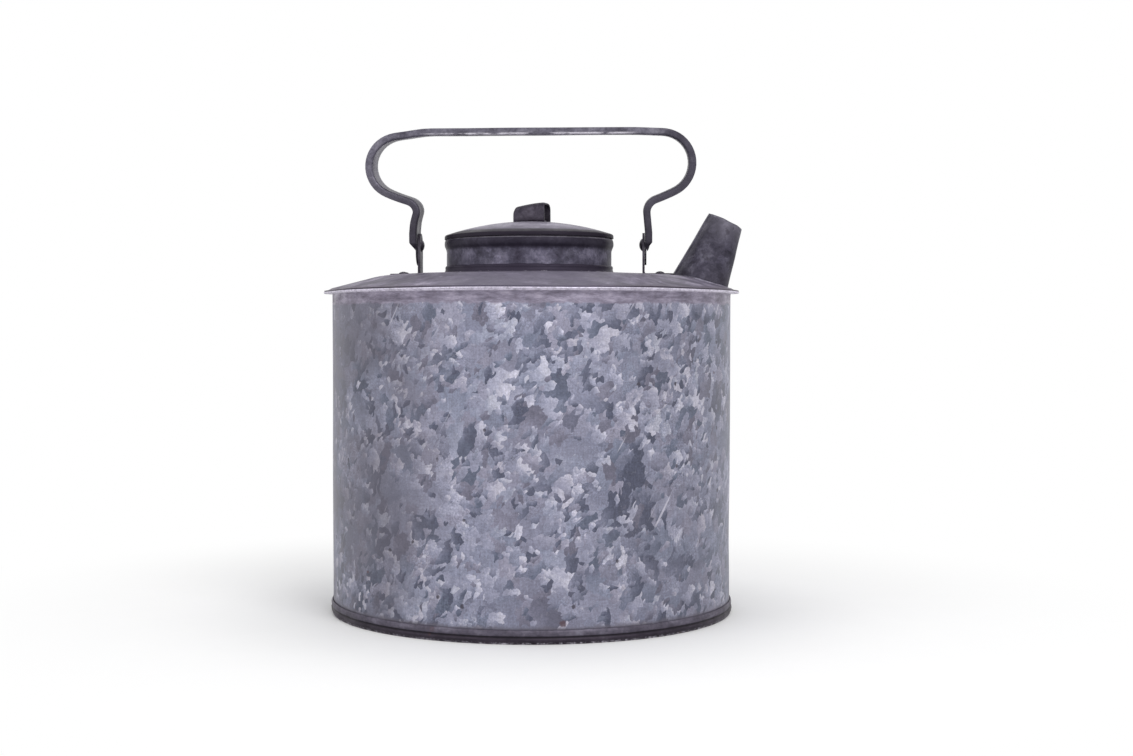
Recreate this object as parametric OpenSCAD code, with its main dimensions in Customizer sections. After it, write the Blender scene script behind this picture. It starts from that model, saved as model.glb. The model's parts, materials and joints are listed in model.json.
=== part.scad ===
// Galvanised watering can: a round sheet-steel can with a domed breast, a lidded neck, a short
// conical spout and a channel-section bail handle that turns on two riveted ears.
// Millimetres, +Z up. The origin is the centre of the base ring, on the ground. The bail turns
// about an axis along X, and the spout stands at the +X side.

/* [Sheet] */
// Thickness of the galvanised sheet
sheet_t = 0.8; // [0.6:0.05:1.2]
// Gap between two soldered sheets
seam_gap = 0.05; // [0.02:0.01:0.1]

/* [Body] */
// Outside diameter of the wall at the top
body_d = 250; // [250:1:340]
// How much smaller the wall is across its foot
foot_taper = 1.6; // [0:0.2:4]
// Height of the valley between the top flange and the breast
body_h = 200.6; // [120:0.2:320]
// How far the top flange stands out from the wall
flange_w = 5.5; // [5:0.1:8]
// Radius of the flare under the top flange
flare_r = 3; // [2:0.1:4]
// How far the top flange tilts up, in degrees
flange_tilt = 8; // [0:1:15]
// Width of the lap strip down the back of the wall
side_seam_w = 7; // [5:0.5:10]

/* [Base] */
// Height of the folded edge that holds the wall
base_rim_h = 8.2; // [6:0.2:12]
// How far each rib of the folded edge bulges
base_rib = 0.8; // [0.2:0.05:1]
// Height of the floor above the ground
floor_z = 6; // [5:0.2:9]
// Corner radius inside the floor
floor_r = 2; // [1.5:0.1:3]

/* [Breast] */
// Radius of the flat deck round the neck
deck_r = 88; // [86:0.5:96]
// Slope of the breast outside the deck, in degrees
breast_slope = 15; // [12:1:24]
// Radius that blends the deck into the slope
shoulder_r = 50; // [30:1:60]
// How far the breast rises from its flat deck to the neck
crown_h = 1.2; // [0.2:0.1:2]
// Width of the ring over which it rises
crown_w = 9; // [5:0.5:9]

/* [Neck] */
// Outside diameter of the neck
neck_d = 104; // [70:0.5:105]
// Height of the neck above the deck
neck_h = 22.8; // [16:0.2:40]
// Offset of the neck from the can's axis
neck_x = -1.5; // [-3:0.1:3]
// Height of the collar turned up from the breast
collar_h = 3.8; // [3.6:0.1:8]
// Radius of the fillet at the foot of that collar
collar_r = 2.6; // [2:0.1:4]
// Height of the hem round the mouth
hem_h = 5.6; // [4:0.1:7]
// How far that hem bulges
hem_bulge = 0.5; // [0.2:0.05:1]

/* [Lid] */
// Rise of the lid's dome above its rim
lid_rise = 8.7; // [3:0.1:16]
// Depth of the lid's turned-down edge
lid_edge_h = 2.3; // [2.2:0.1:6]
// Length of the sleeve that plugs into the neck
sleeve_h = 13.6; // [8:0.2:20]
// Radial clearance of the sleeve in the neck
sleeve_gap = 0.4; // [0.3:0.05:1]
// Gap between the lid's edge and the neck's hem
lid_seat_gap = 0.3; // [0.3:0.05:0.6]

/* [Lid loop] */
// Length of the loop along its tunnel
loop_l = 20.4; // [14:0.2:30]
// Width of the loop across its tunnel
loop_w = 13.5; // [12:0.1:20]
// Height of the loop at its low end
loop_low_h = 9.3; // [8:0.1:14]
// Height of the loop at its high end
loop_high_h = 11.9; // [8:0.1:18]
// Corner radius of the loop
loop_r = 4; // [2:0.1:5]
// Turn of the tunnel from the X axis, in degrees
loop_turn = -15; // [-15:1:15]
// Offset of the loop from the lid's centre
loop_x = 1.9; // [-3:0.1:3]
// Length of the feet turned in under the loop
loop_foot = 3.6; // [2:0.1:4]

/* [Spout] */
// Outside diameter at the tip
spout_tip_d = 22.4; // [16:0.2:28]
// Outside diameter where the axis meets the breast
spout_foot_d = 34.8; // [26:0.2:35.4]
// Length along the axis
spout_l = 42; // [30:0.5:90]
// Lean away from the vertical, in degrees
spout_tilt = 22; // [10:0.5:35]
// Distance from the outside of the wall in to the axis at the foot
spout_inset = 17; // [17:0.1:17.5]
// Turn of the spout round the can from the X axis, in degrees
spout_turn = 6; // [5:1:20]

/* [Ears] */
// Width of an ear
ear_w = 15; // [12:0.5:18]
// Thickness of an ear
ear_t = 1.4; // [1:0.1:2]
// Gap from the neck to the inner face of an ear
ear_gap = 18; // [16:0.5:18.5]
// Length of an ear's foot
ear_foot_l = 20; // [18:0.5:20.5]
// Inside bend radius of an ear
ear_bend_r = 1; // [0.6:0.1:2]
// Height of the pivot above the deck
pivot_h = 19.4; // [17.2:0.1:26]

/* [Rivets] */
// Shank diameter of the pivot rivets
pivot_d = 4; // [3:0.1:5]
// Head diameter of the pivot rivets
pivot_head_d = 7.8; // [6:0.1:9]
// Head height of the pivot rivets
pivot_head_h = 2; // [1.2:0.1:2.2]
// Shank diameter of the foot rivets
foot_rivet_d = 3; // [2:0.1:3.5]
// Head diameter of the foot rivets
foot_head_d = 5.6; // [4:0.1:6]
// Head height of the foot rivets
foot_head_h = 1.3; // [0.8:0.1:1.6]
// Spacing of the two foot rivets across an ear
foot_rivet_gap = 8.6; // [7:0.1:9]
// Distance of the foot rivets from the ear's upright
foot_rivet_x = 11; // [9:0.1:12]

/* [Bail] */
// Width of the strap
strap_w = 25; // [20:0.5:28]
// Thickness of the strap
strap_t = 1; // [0.8:0.05:1.3]
// Depth of the channel, flanges included
channel_h = 4.6; // [4:0.1:6]
// Outside corner radius of the channel
channel_r = 1.8; // [1.2:0.1:2.4]
// Overall width of the bail
bail_w = 207; // [196:1:260]
// Height of the grip's underside above the pivot
grip_h = 69.2; // [66:0.2:110]
// Radius of the upper bends, at the web
upper_r = 16.8; // [12:0.2:24]
// Radius of the lower bends, at the web
lower_r = 12; // [9:0.2:16]
// Fall of the slanted runs, in degrees
slant = 25; // [15:1:40]
// How far the legs splay below the lower bends, in degrees
splay = 5.3; // [3:0.1:8]
// Lean of the bail towards the front, in degrees
bail_lean = 5.5; // [-6:0.5:8]
// Width of the flat tongue at each end
tongue_w = 19; // [15:0.5:19]
// How far the tongue reaches below the pivot
tongue_drop = 12.7; // [10:0.1:13]
// Side play between a tongue and its ear
side_play = 0.3; // [0.2:0.05:0.5]
// Radial play of a tongue on its rivet
pivot_play = 0.08; // [0.03:0.01:0.1]

/* [Hidden] */
$fn = 96;
eps = 0.01;
drill_l = 10;              // length of a drilled hole's cutter, longer than any sheet stack
under = 40;                // how far a cutter reaches down under the lid
arc_n = 8;                 // segments in a drawn arc
dome_n = 16;               // segments from the lid's edge to its middle
lap_bite = 0.3;            // how deep a lap strip is let into the sheet it is one with
lap_end = 1;               // how far a lap strip stops short of the bends above and below it
deck_bite = 1;             // how far the ring round the neck runs into the deck

zinc = [0.62, 0.63, 0.70];
dull_zinc = [0.50, 0.49, 0.55];
dark_iron = [0.30, 0.29, 0.32];

// Wall and base
wall_r = body_d / 2;
foot_r = wall_r - foot_taper / 2;
rim_in_r = foot_r - 2 * sheet_t - seam_gap;    // inner face of the rim's inner leg
rim_out_r = foot_r + seam_gap + sheet_t;       // outer face of the rim's outer leg
fold_gap = 0.4;                                // room under the wall's foot in the fold
wall_foot_z = sheet_t + fold_gap;
rim_corner = 0.6;                              // rounding of the rim's bottom edges

// Top flange: the breast lies on the wall's flange, and the valley is where it turns up
flange_run = (flange_w - flare_r * (1 - sin(flange_tilt))) / cos(flange_tilt);
valley_r = wall_r + flare_r * (1 - sin(flange_tilt));
wall_flange_z = body_h - (sheet_t + seam_gap) / cos(flange_tilt);   // top of the wall's flange there
flare_z = wall_flange_z - (flare_r + sheet_t) * cos(flange_tilt);   // height of the flare's centre

// Breast
slope_r = deck_r + shoulder_r * sin(breast_slope);
deck_z = body_h + (valley_r - slope_r) * tan(breast_slope) + shoulder_r * (1 - cos(breast_slope));

// Neck and lid
neck_r = neck_d / 2;
neck_in_r = neck_r - sheet_t;
neck_top = deck_z + neck_h;
collar_in_r = neck_r + seam_gap;               // the neck stands inside this collar
throat_r = collar_in_r + sheet_t + collar_r;   // where the collar's fillet begins
crown_r = throat_r + crown_w;                  // where the flat deck ends
collar_z = deck_z + crown_h;                   // height of the breast at the foot of its collar
hem_r = neck_r + seam_gap + sheet_t + hem_bulge;
lid_r = hem_r;
lid_foot_z = neck_top + lid_seat_gap;
lid_rim_z = lid_foot_z + lid_edge_h;
lid_top = lid_rim_z + lid_rise;
dome_r = (lid_r * lid_r + lid_rise * lid_rise) / (2 * lid_rise);
sleeve_r = neck_in_r - sleeve_gap;
lid_edge_r = 1.4;                              // rounding between the dome and its edge

// Ears, pivots and bail
ear_clear = 0.5;                               // the legs turn upright this far above the ears
ear_x = neck_r + ear_gap;
pivot_z = deck_z + pivot_h;
tongue_x = ear_x + ear_t + side_play;
tongue_top = ear_w / 2 + ear_clear;
foot_rivet_r = ear_x + foot_rivet_x;
rivet_fit = 0.03;                              // radial gap round a clenched shank
struck = 0.85;                                 // how much smaller a struck head is than a made one

// Spout
spout_foot_r = wall_r - spout_inset;
spout_half = atan((spout_foot_d - spout_tip_d) / 2 / spout_l);
spout_root = 12;                               // how far the cone is drawn below its foot
hole_step = 1;                                 // how much smaller its hole in the breast is

// ---- outlines ----

// Points of an arc in the plane, from angle a0 to a1
function arc(c, r, a0, a1, n = arc_n) =
    [for (i = [0:n]) let (a = a0 + (a1 - a0) * i / n) c + r * [cos(a), sin(a)]];

function unit(v) = v / norm(v);

// Sideways shift of point i of a path, so that each straight stretch moves by d to its left
function shifted(p, i, d) =
    let (last = len(p) - 1,
         a = unit(p[max(i, 1)] - p[max(i, 1) - 1]),
         b = unit(p[min(i, last - 1) + 1] - p[min(i, last - 1)]),
         m = unit(a + b),
         k = d / (m * a))
    p[i] + k * [-m[1], m[0]];

// Outline of a sheet of thickness t whose right-hand face is the path p
function sheet(p, t = sheet_t) =
    concat(p, [for (i = [len(p) - 1:-1:0]) shifted(p, i, t)]);

// Height of the dome's outer face at radius r from the lid's axis
function dome_z(r) = lid_top - dome_r + sqrt(dome_r * dome_r - r * r);

module revolve(points) { rotate_extrude() polygon(points); }

// ---- can ----

// Outside face of the wall, from its foot to the tip of its flange
function wall_face() = concat(
    [[foot_r, wall_foot_z], [foot_r, base_rim_h + lap_end]],
    arc([wall_r + flare_r, flare_z], flare_r, 180, 90 + flange_tilt),
    [[wall_r + flare_r, flare_z] + flare_r * [-sin(flange_tilt), cos(flange_tilt)]
        + flange_run * [cos(flange_tilt), sin(flange_tilt)]]);

// Wall: one rolled sheet, flared at the top, with its lap strip down the back
module body_wall() {
    lap_angle = side_seam_w / wall_r * 180 / PI;
    lap_z = base_rim_h + lap_end;
    color(zinc) {
        revolve(sheet(wall_face()));
        rotate([0, 0, 90 - lap_angle / 2])
            rotate_extrude(angle = lap_angle)
                polygon([[foot_r - lap_bite, lap_z], [foot_r + sheet_t, lap_z],
                         [wall_r + sheet_t, flare_z - lap_end], [wall_r - lap_bite, flare_z - lap_end]]);
    }
}

// Base: a floor whose edge is folded down, under the wall and up its outside in two ribs
function rib(z0, z1) =
    let (half = (z1 - z0) / 2, r = (half * half + base_rib * base_rib) / (2 * base_rib),
         a = asin(half / r))
    arc([rim_out_r + base_rib - r, z0 + half], r, -a, a);

module base_pan() {
    mid = base_rim_h / 2;
    slot = concat(
        [[foot_r + seam_gap, base_rim_h], [foot_r + seam_gap, sheet_t],
         [foot_r - sheet_t - seam_gap, sheet_t]],
        arc([rim_in_r - floor_r, floor_z - floor_r], floor_r + sheet_t, 0, 90));
    color(dark_iron)
        revolve(concat(
            [[0, floor_z]],
            arc([rim_in_r - floor_r, floor_z - floor_r], floor_r, 90, 0),
            arc([rim_in_r + rim_corner, rim_corner], rim_corner, 180, 270, 4),
            arc([rim_out_r - rim_corner, rim_corner], rim_corner, 270, 360, 4),
            rib(rim_corner, mid),
            rib(mid, base_rim_h),
            slot,
            [[0, floor_z + sheet_t]]));
}

// Upper face of the breast from its flange in to the deck's edge
function breast_face() = concat(
    [[valley_r + flange_run * cos(flange_tilt), body_h + flange_run * sin(flange_tilt)]],
    [[valley_r, body_h]],
    arc([deck_r, deck_z - shoulder_r], shoulder_r, 90 - breast_slope, 90));

// Everything below the breast's upper face
module under_breast() {
    revolve(concat([[0, 0], [valley_r, 0], [valley_r, body_h]],
                   arc([deck_r, deck_z - shoulder_r], shoulder_r, 90 - breast_slope, 90),
                   [[0, deck_z]]));
}

// Breast: a dished sheet with a flange outside, a collar turned up round the neck,
// the spout's hole and the holes of the foot rivets
module breast() {
    color(dull_zinc)
        difference() {
            union() {
                difference() {
                    revolve(sheet(concat([for (p = breast_face()) p], [[neck_r / 2, deck_z]])));
                    translate([neck_x, 0, deck_z]) cylinder(r = crown_r, h = 4 * sheet_t, center = true);
                }
                translate([neck_x, 0, 0]) throat();
            }
            spout_axis() cone(-sheet_t - hole_step);
            each_foot_rivet() cylinder(d = foot_rivet_d + 2 * rivet_fit, h = drill_l, center = true);
        }
}

// Ring round the neck's foot: a low crown and the collar turned up from it
module throat() {
    revolve(sheet(concat(
        [[crown_r + deck_bite, deck_z], [crown_r, deck_z]],
        arc([throat_r, collar_z + collar_r], collar_r, 270, 180),
        [[throat_r - collar_r, collar_z + collar_h]])));
}

// Neck: a ring that stands in the collar, its top edge hemmed outwards
module neck_collar() {
    leg_r = neck_r + seam_gap;
    fold = sheet_t + seam_gap / 2;
    half = hem_h / 2;
    r = (half * half + hem_bulge * hem_bulge) / (2 * hem_bulge);
    a = asin(min(1, half / r));
    lap_angle = side_seam_w / neck_r * 180 / PI;
    lap_z = collar_z + collar_h + lap_end;
    hem_part = 0.8;        // share of the bulge's full arc that is drawn
    color(dull_zinc)
        translate([neck_x, 0, 0]) {
            revolve(concat(
                [[neck_in_r, deck_z - 2 * sheet_t], [neck_r, deck_z - 2 * sheet_t]],
                [[neck_r, neck_top - fold - seam_gap], [leg_r, neck_top - fold - seam_gap]],
                [[leg_r, neck_top - hem_h]],
                arc([leg_r + sheet_t + hem_bulge - r, neck_top - half - fold / 2], r,
                    -a * hem_part, a * hem_part),
                arc([neck_in_r + fold, neck_top - fold], fold, 90, 180)));
            rotate([0, 0, 90 - lap_angle / 2])
                rotate_extrude(angle = lap_angle)
                    translate([neck_r - lap_bite, lap_z])
                        square([sheet_t + lap_bite, neck_top - hem_h - lap_end - lap_z]);
        }
}

// ---- spout ----

// Moves to the spout's foot, with Z along its axis
module spout_axis() {
    rotate([0, 0, spout_turn])
        translate([spout_foot_r, 0, deck_at(spout_foot_r)])
            rotate([0, spout_tilt, 0]) children();
}

// Height of the breast's upper face at radius r
function deck_at(r) =
    r < deck_r ? deck_z
    : r < slope_r ? deck_z - shoulder_r + sqrt(shoulder_r * shoulder_r - pow(r - deck_r, 2))
    : body_h + (valley_r - r) * tan(breast_slope);

// Solid cone of the spout, grown or shrunk by g
module cone(g) {
    translate([0, 0, -spout_root])
        cylinder(r1 = spout_foot_d / 2 + spout_root * tan(spout_half) + g,
                 r2 = spout_tip_d / 2 + g, h = spout_l + spout_root);
}

// Spout: a rolled cone cut to the breast, lapped along the side that faces the neck
module spout() {
    lap_angle = 24;        // how far the lap reaches round the cone, in degrees
    color(dark_iron)
        difference() {
            spout_axis()
                difference() {
                    union() {
                        cone(0);
                        rotate([0, 0, 180 - lap_angle / 2])
                            rotate_extrude(angle = lap_angle)
                                polygon([[eps, -spout_root],
                                         [spout_foot_d / 2 + sheet_t + spout_root * tan(spout_half),
                                          -spout_root],
                                         [spout_tip_d / 2 + sheet_t, spout_l],
                                         [eps, spout_l]]);
                    }
                    cone(-sheet_t);
                    translate([0, 0, spout_l - eps]) cylinder(r = spout_tip_d / 2 - sheet_t, h = sheet_t);
                }
            under_breast();
        }
}

// ---- lid ----

// Half outline of the dome with its turned edge, drawn in by g
function dome_face(g) =
    let (a = asin((lid_r - lid_edge_r) / (dome_r - lid_edge_r)),
         c = [lid_r - lid_edge_r, lid_top - dome_r + (dome_r - lid_edge_r) * cos(a)])
    concat([[lid_r - g, lid_foot_z]],
           arc(c, lid_edge_r - g, 0, 90 - a),
           [for (i = [1:dome_n]) let (b = 90 - a + a * i / dome_n)
               [(dome_r - g) * max(0, cos(b)), lid_top - dome_r + (dome_r - g) * sin(b)]]);

// Lid: a shallow dome with its edge turned down
module lid_dome() {
    outer = dome_face(0);
    inner = dome_face(sheet_t);
    color(dull_zinc)
        translate([neck_x, 0, 0])
            revolve(concat(outer, [for (i = [len(inner) - 1:-1:0]) inner[i]]));
}

// Sleeve: a ring under the dome that plugs into the neck
module lid_sleeve() {
    top = dome_z(sleeve_r) - sheet_t / cos(asin(sleeve_r / dome_r)) - seam_gap;
    color(dark_iron)
        translate([neck_x, 0, 0])
            revolve([[sleeve_r - sheet_t, neck_top - sleeve_h], [sleeve_r, neck_top - sleeve_h],
                     [sleeve_r, top], [sleeve_r - sheet_t, top]]);
}

// Slice of the loop's outline, h high, drawn in by g
module loop_slice(h, g) {
    corner = loop_r - g;
    sunk = 1;              // how far the outline is drawn down into the dome
    rotate([90, 0, 90])
        linear_extrude(eps)
            polygon(concat(
                [[g - loop_w / 2, -sunk]],
                arc([loop_r - loop_w / 2, h - loop_r], corner, 180, 90),
                arc([loop_w / 2 - loop_r, h - loop_r], corner, 90, 0),
                [[loop_w / 2 - g, -sunk]]));
}

module loop_block(g, over) {
    hull() {
        translate([-loop_l / 2 - over, 0, 0]) loop_slice(loop_low_h, g);
        translate([loop_l / 2 + over - eps, 0, 0]) loop_slice(loop_high_h, g);
    }
}

// Loop: a strap bent into a tunnel that rises to one end, its feet turned in on the dome
module lid_loop() {
    color(dark_iron)
        difference() {
            translate([neck_x + loop_x, 0, lid_top]) rotate([0, 0, loop_turn]) {
                difference() {
                    loop_block(0, 0);
                    loop_block(sheet_t, eps);
                }
                for (side = [0, 1])
                    mirror([0, side, 0])
                        translate([-loop_l / 2, -loop_w / 2, -sheet_t])
                            cube([loop_l, loop_foot + sheet_t, 2 * sheet_t]);
            }
            translate([neck_x, 0, 0])
                revolve(concat([[0, lid_foot_z - under], [lid_r, lid_foot_z - under]],
                               arc([0, lid_top - dome_r], dome_r, 90 - asin(lid_r / dome_r), 90, dome_n)));
        }
}

// ---- ears and rivets ----

// Places a child at the left (-1) or right (1) ear, the left one turned half round
module ear_side(side) { rotate([0, 0, side > 0 ? 0 : 180]) children(); }

module each_foot_rivet() {
    for (side = [-1, 1], across = [-1, 1])
        foot_rivet_place(side, across) children();
}

module foot_rivet_place(side, across) {
    ear_side(side) translate([foot_rivet_r, across * foot_rivet_gap / 2, deck_z]) children();
}

// Strip of length l from the origin along X, its far end round
module tab(l, w, t) {
    linear_extrude(t) {
        translate([0, -w / 2]) square([l - w / 2, w]);
        translate([l - w / 2, 0]) circle(d = w);
    }
}

// Ear: a strip bent to an L, its foot on the deck and its upright beside the bail's tongue
module ear(side) {
    bend = ear_bend_r + ear_t;
    color(dark_iron)
        ear_side(side)
            difference() {
                union() {
                    translate([ear_x + bend, 0, deck_z]) tab(ear_foot_l - bend, ear_w, ear_t);
                    translate([ear_x + ear_t, 0, deck_z + bend])
                        rotate([0, -90, 0]) tab(pivot_h + ear_w / 2 - bend, ear_w, ear_t);
                    translate([ear_x + bend, ear_w / 2, deck_z + bend])
                        rotate([90, 0, 0])
                            linear_extrude(ear_w)
                                polygon(concat(arc([0, 0], bend, 180, 270),
                                               arc([0, 0], ear_bend_r, 270, 180)));
                }
                for (across = [-1, 1])
                    translate([foot_rivet_r, across * foot_rivet_gap / 2, deck_z])
                        cylinder(d = foot_rivet_d + 2 * rivet_fit, h = drill_l, center = true);
                translate([ear_x, 0, pivot_z])
                    rotate([0, 90, 0])
                        cylinder(d = pivot_d + 2 * rivet_fit, h = drill_l, center = true);
            }
}

// Rivet along Z: its shank from 0 to grip, a made head at its top and a struck head at its foot
module rivet(d, grip, head_d, head_h, tail_d, tail_h) {
    cylinder(d = d, h = grip);
    translate([0, 0, grip]) rivet_head(head_d, head_h);
    mirror([0, 0, 1]) rivet_head(tail_d, tail_h);
}

module rivet_head(d, h) {
    flat = 0.3;            // height of the head's straight edge
    r = (d * d / 4 + (h - flat) * (h - flat)) / (2 * (h - flat));
    rotate_extrude()
        polygon(concat([[0, 0], [d / 2, 0]], arc([0, h - r], r, acos(d / 2 / r), 90)));
}

module foot_rivet(side, across) {
    color(dark_iron)
        foot_rivet_place(side, across)
            translate([0, 0, -sheet_t])
                rivet(foot_rivet_d, sheet_t + ear_t, foot_head_d, foot_head_h,
                      struck * foot_head_d, foot_head_h);
}

module pivot_rivet(side) {
    outer_gap = side_play / 2;     // between the tongue and the outer head
    color(dark_iron)
        ear_side(side)
            translate([ear_x, 0, pivot_z]) rotate([0, 90, 0])
                rivet(pivot_d, ear_t + side_play + strap_t + outer_gap, pivot_head_d,
                      struck * pivot_head_h, pivot_head_d, pivot_head_h);
}

// ---- bail ----

// The straight runs are a hair slimmer than the bends and end a little way inside them
run_slip = 0.01;
run_bite = 0.1;

// The bail's right half is drawn along its web's inner face, in X and height above the pivot:
// an upper bend, a slanted run, a lower bend, a splayed leg and an upright end
upper_c = [bail_w / 2 - channel_h - upper_r, grip_h - upper_r];
slant_a = upper_c + upper_r * [sin(slant), -cos(slant)];
run_x = slant_a[0] + lower_r * (sin(slant) - cos(splay)) - tongue_x;
run_z = slant_a[1] - lower_r * (cos(slant) + sin(splay)) - tongue_top;
slant_l = (run_x * cos(splay) + run_z * sin(splay)) / cos(slant - splay);
leg_l = (run_z * cos(slant) - run_x * sin(slant)) / cos(slant - splay);
slant_b = slant_a - slant_l * [cos(slant), sin(slant)];
lower_c = slant_b + lower_r * [sin(slant), -cos(slant)];
leg_a = lower_c - lower_r * [cos(splay), sin(splay)];

// Channel section, slimmed all round by slip: its web's inner face on the Y axis, its flanges
// pointing to +X
module channel(slip = 0) {
    half = strap_w / 2;
    in_r = channel_r - strap_t + slip;
    out_r = channel_r - slip;
    polygon(concat(
        [[channel_h - slip, -half + strap_t - slip], [channel_h - slip, -half + slip]],
        arc([channel_r, -half + channel_r], out_r, 270, 180, 4),
        arc([channel_r, half - channel_r], out_r, 180, 90, 4),
        [[channel_h - slip, half - slip], [channel_h - slip, half - strap_t + slip]],
        arc([channel_r, half - channel_r], in_r, 90, 180, 4),
        arc([channel_r, -half + channel_r], in_r, 180, 270, 4)));
}

// Straight channel of length l from point p, heading a degrees from +X towards +Z,
// its flanges to the left of the heading
module run(p, a, l) {
    translate([p[0], 0, p[1]])
        rotate([0, -a, 0]) rotate([0, 90, 0]) rotate([0, 0, 180])
            translate([0, 0, -run_bite]) linear_extrude(l + 2 * run_bite) channel(run_slip);
}

// Bent channel about c, its web at radius r, from angle a0 to a1; out is 1 if its flanges
// point away from c and -1 if they point to it
module bend(c, r, a0, a1, out) {
    translate([c[0], 0, c[1]])
        rotate([90, 0, 0]) rotate([0, 0, a0])
            rotate_extrude(angle = a1 - a0)
                translate([r, 0]) mirror([out > 0 ? 0 : 1, 0]) channel();
}

module half_bail() {
    bend(upper_c, upper_r, slant - 90, 90, 1);
    run(slant_a, 180 + slant, slant_l);
    bend(lower_c, lower_r, 90 + slant, 180 + splay, -1);
    run(leg_a, 270 + splay, leg_l);
    flange_end = 1.6;      // how far the flanges reach below the pivot
    flange_step = 0.8;     // what stays of them at the very end
    flange_cut = 35;       // angle at which they are cut off, in degrees
    difference() {
        run([tongue_x, tongue_top], 270, tongue_top + flange_end);
        translate([tongue_x + strap_t + flange_step, -strap_w, -flange_end])
            rotate([0, flange_cut, 0])
                translate([0, 0, -channel_h]) cube([4 * channel_h, 2 * strap_w, channel_h]);
    }
    translate([tongue_x, 0, 0]) rotate([0, 90, 0]) tab(tongue_drop, tongue_w, strap_t);
}

// Bail: one strap pressed to a channel and bent, its flat tongues drilled for the pivots
module bail_handle() {
    color(dark_iron)
        translate([0, 0, pivot_z]) rotate([bail_lean, 0, 0])
            difference() {
                union() {
                    run([-upper_c[0], grip_h], 0, 2 * upper_c[0]);
                    half_bail();
                    mirror([1, 0, 0]) half_bail();
                }
                rotate([0, 90, 0])
                    cylinder(d = pivot_d + 2 * pivot_play, h = 2 * bail_w, center = true);
            }
}

body_wall();
base_pan();
breast();
neck_collar();
spout();
lid_dome();
lid_sleeve();
lid_loop();
bail_handle();
ear(-1);  // ear_left
ear(1);  // ear_right
pivot_rivet(-1);  // pivot_rivet_left
pivot_rivet(1);  // pivot_rivet_right
foot_rivet(-1, 1);  // foot_rivet_left_front
foot_rivet(-1, -1);  // foot_rivet_left_back
foot_rivet(1, -1);  // foot_rivet_right_front
foot_rivet(1, 1);  // foot_rivet_right_back
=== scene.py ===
"""An old galvanised watering can: a lidded round can with a short spout and a channel bail handle.

Metres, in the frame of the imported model: +Z up, the spout at +X, the front at -Y. Each section below
makes one piece, or a group of like pieces, in the order in which the can was put together.
"""

import json
import math

import bmesh
import bpy
from mathutils import Matrix, Vector, noise


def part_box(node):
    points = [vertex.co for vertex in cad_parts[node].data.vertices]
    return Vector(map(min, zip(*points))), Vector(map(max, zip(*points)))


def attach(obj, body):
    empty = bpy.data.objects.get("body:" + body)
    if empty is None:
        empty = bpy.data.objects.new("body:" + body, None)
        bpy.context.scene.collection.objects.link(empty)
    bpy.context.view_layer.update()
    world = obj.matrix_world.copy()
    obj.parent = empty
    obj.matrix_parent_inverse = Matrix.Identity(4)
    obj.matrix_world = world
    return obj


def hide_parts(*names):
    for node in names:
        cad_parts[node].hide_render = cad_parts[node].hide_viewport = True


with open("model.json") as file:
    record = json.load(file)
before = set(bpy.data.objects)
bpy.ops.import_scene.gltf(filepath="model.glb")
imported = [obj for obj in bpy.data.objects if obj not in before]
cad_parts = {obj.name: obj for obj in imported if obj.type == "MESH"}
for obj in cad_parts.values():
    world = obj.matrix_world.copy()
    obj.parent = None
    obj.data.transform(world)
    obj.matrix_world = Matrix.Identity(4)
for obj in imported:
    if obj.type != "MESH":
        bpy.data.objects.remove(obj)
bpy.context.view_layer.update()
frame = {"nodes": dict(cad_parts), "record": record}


# ---- Wall ----
# One galvanised sheet rolled to a round wall and lapped down the back, with its top edge flared out to
# a flange. The zinc froze in large flat crystals, now dull, under a brown heat stain at the top.

SHEET = 0.0008
WALL_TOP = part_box("body_wall")[1].z
FLANGE_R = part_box("body_wall")[1].x
FLANGE_W = 0.0055
FLANGE_WORN = 0.0004
WALL_R = FLANGE_R - FLANGE_W
WALL_TAPER = 0.0008
WALL_FOOT_R = WALL_R - WALL_TAPER
WALL_FOOT_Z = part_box("body_wall")[0].z
FLARE_R = 0.003
FLANGE_TILT = math.radians(8)
BEND_START = 0.0008
SIDE_DIP = 0.0014
FRONT_DIP = 0.0006
EDGE_DENT = 0.0005
EDGE_WAVE = 0.0003
WALL_WAVE = 0.0005
LAP_HALF = 0.0035
LAP_RAMP = 0.0005
LAP_LOW = 0.0085
FRONT = -math.pi / 2
BACK = math.pi / 2
EDGE_DENT_AT = FRONT - math.radians(66)


def linear(red, green, blue):
    """A colour given as it looks on a screen, from 0 to 255, in linear values."""

    def one(value):
        value /= 255
        return value / 12.92 if value <= 0.04045 else ((value + 0.055) / 1.055) ** 2.4

    return (one(red), one(green), one(blue), 1.0)


def arc(centre, radius, start, end, steps=8):
    """Points of an arc in the plane of a profile, its angles in degrees."""
    angles = [math.radians(start + (end - start) * i / steps) for i in range(steps + 1)]
    return [(centre[0] + radius * math.cos(a), centre[1] + radius * math.sin(a)) for a in angles]


def line(start, end, steps):
    """Points of a straight stretch of a profile, without its last one."""
    return [
        (start[0] + (end[0] - start[0]) * i / steps, start[1] + (end[1] - start[1]) * i / steps)
        for i in range(steps)
    ]


def around(point, centre_x=0.0):
    """The angle and the radius of a point about an upright axis."""
    x = point.x - centre_x
    return math.atan2(point.y, x), math.hypot(x, point.y)


def bell(distance, width):
    """1 at no distance, falling smoothly to nothing past about twice the width."""
    return math.exp(-((distance / width) ** 2))


def apart(angle, other):
    """The signed difference of two angles, from -pi to pi."""
    return (angle - other + math.pi) % (2 * math.pi) - math.pi


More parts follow.
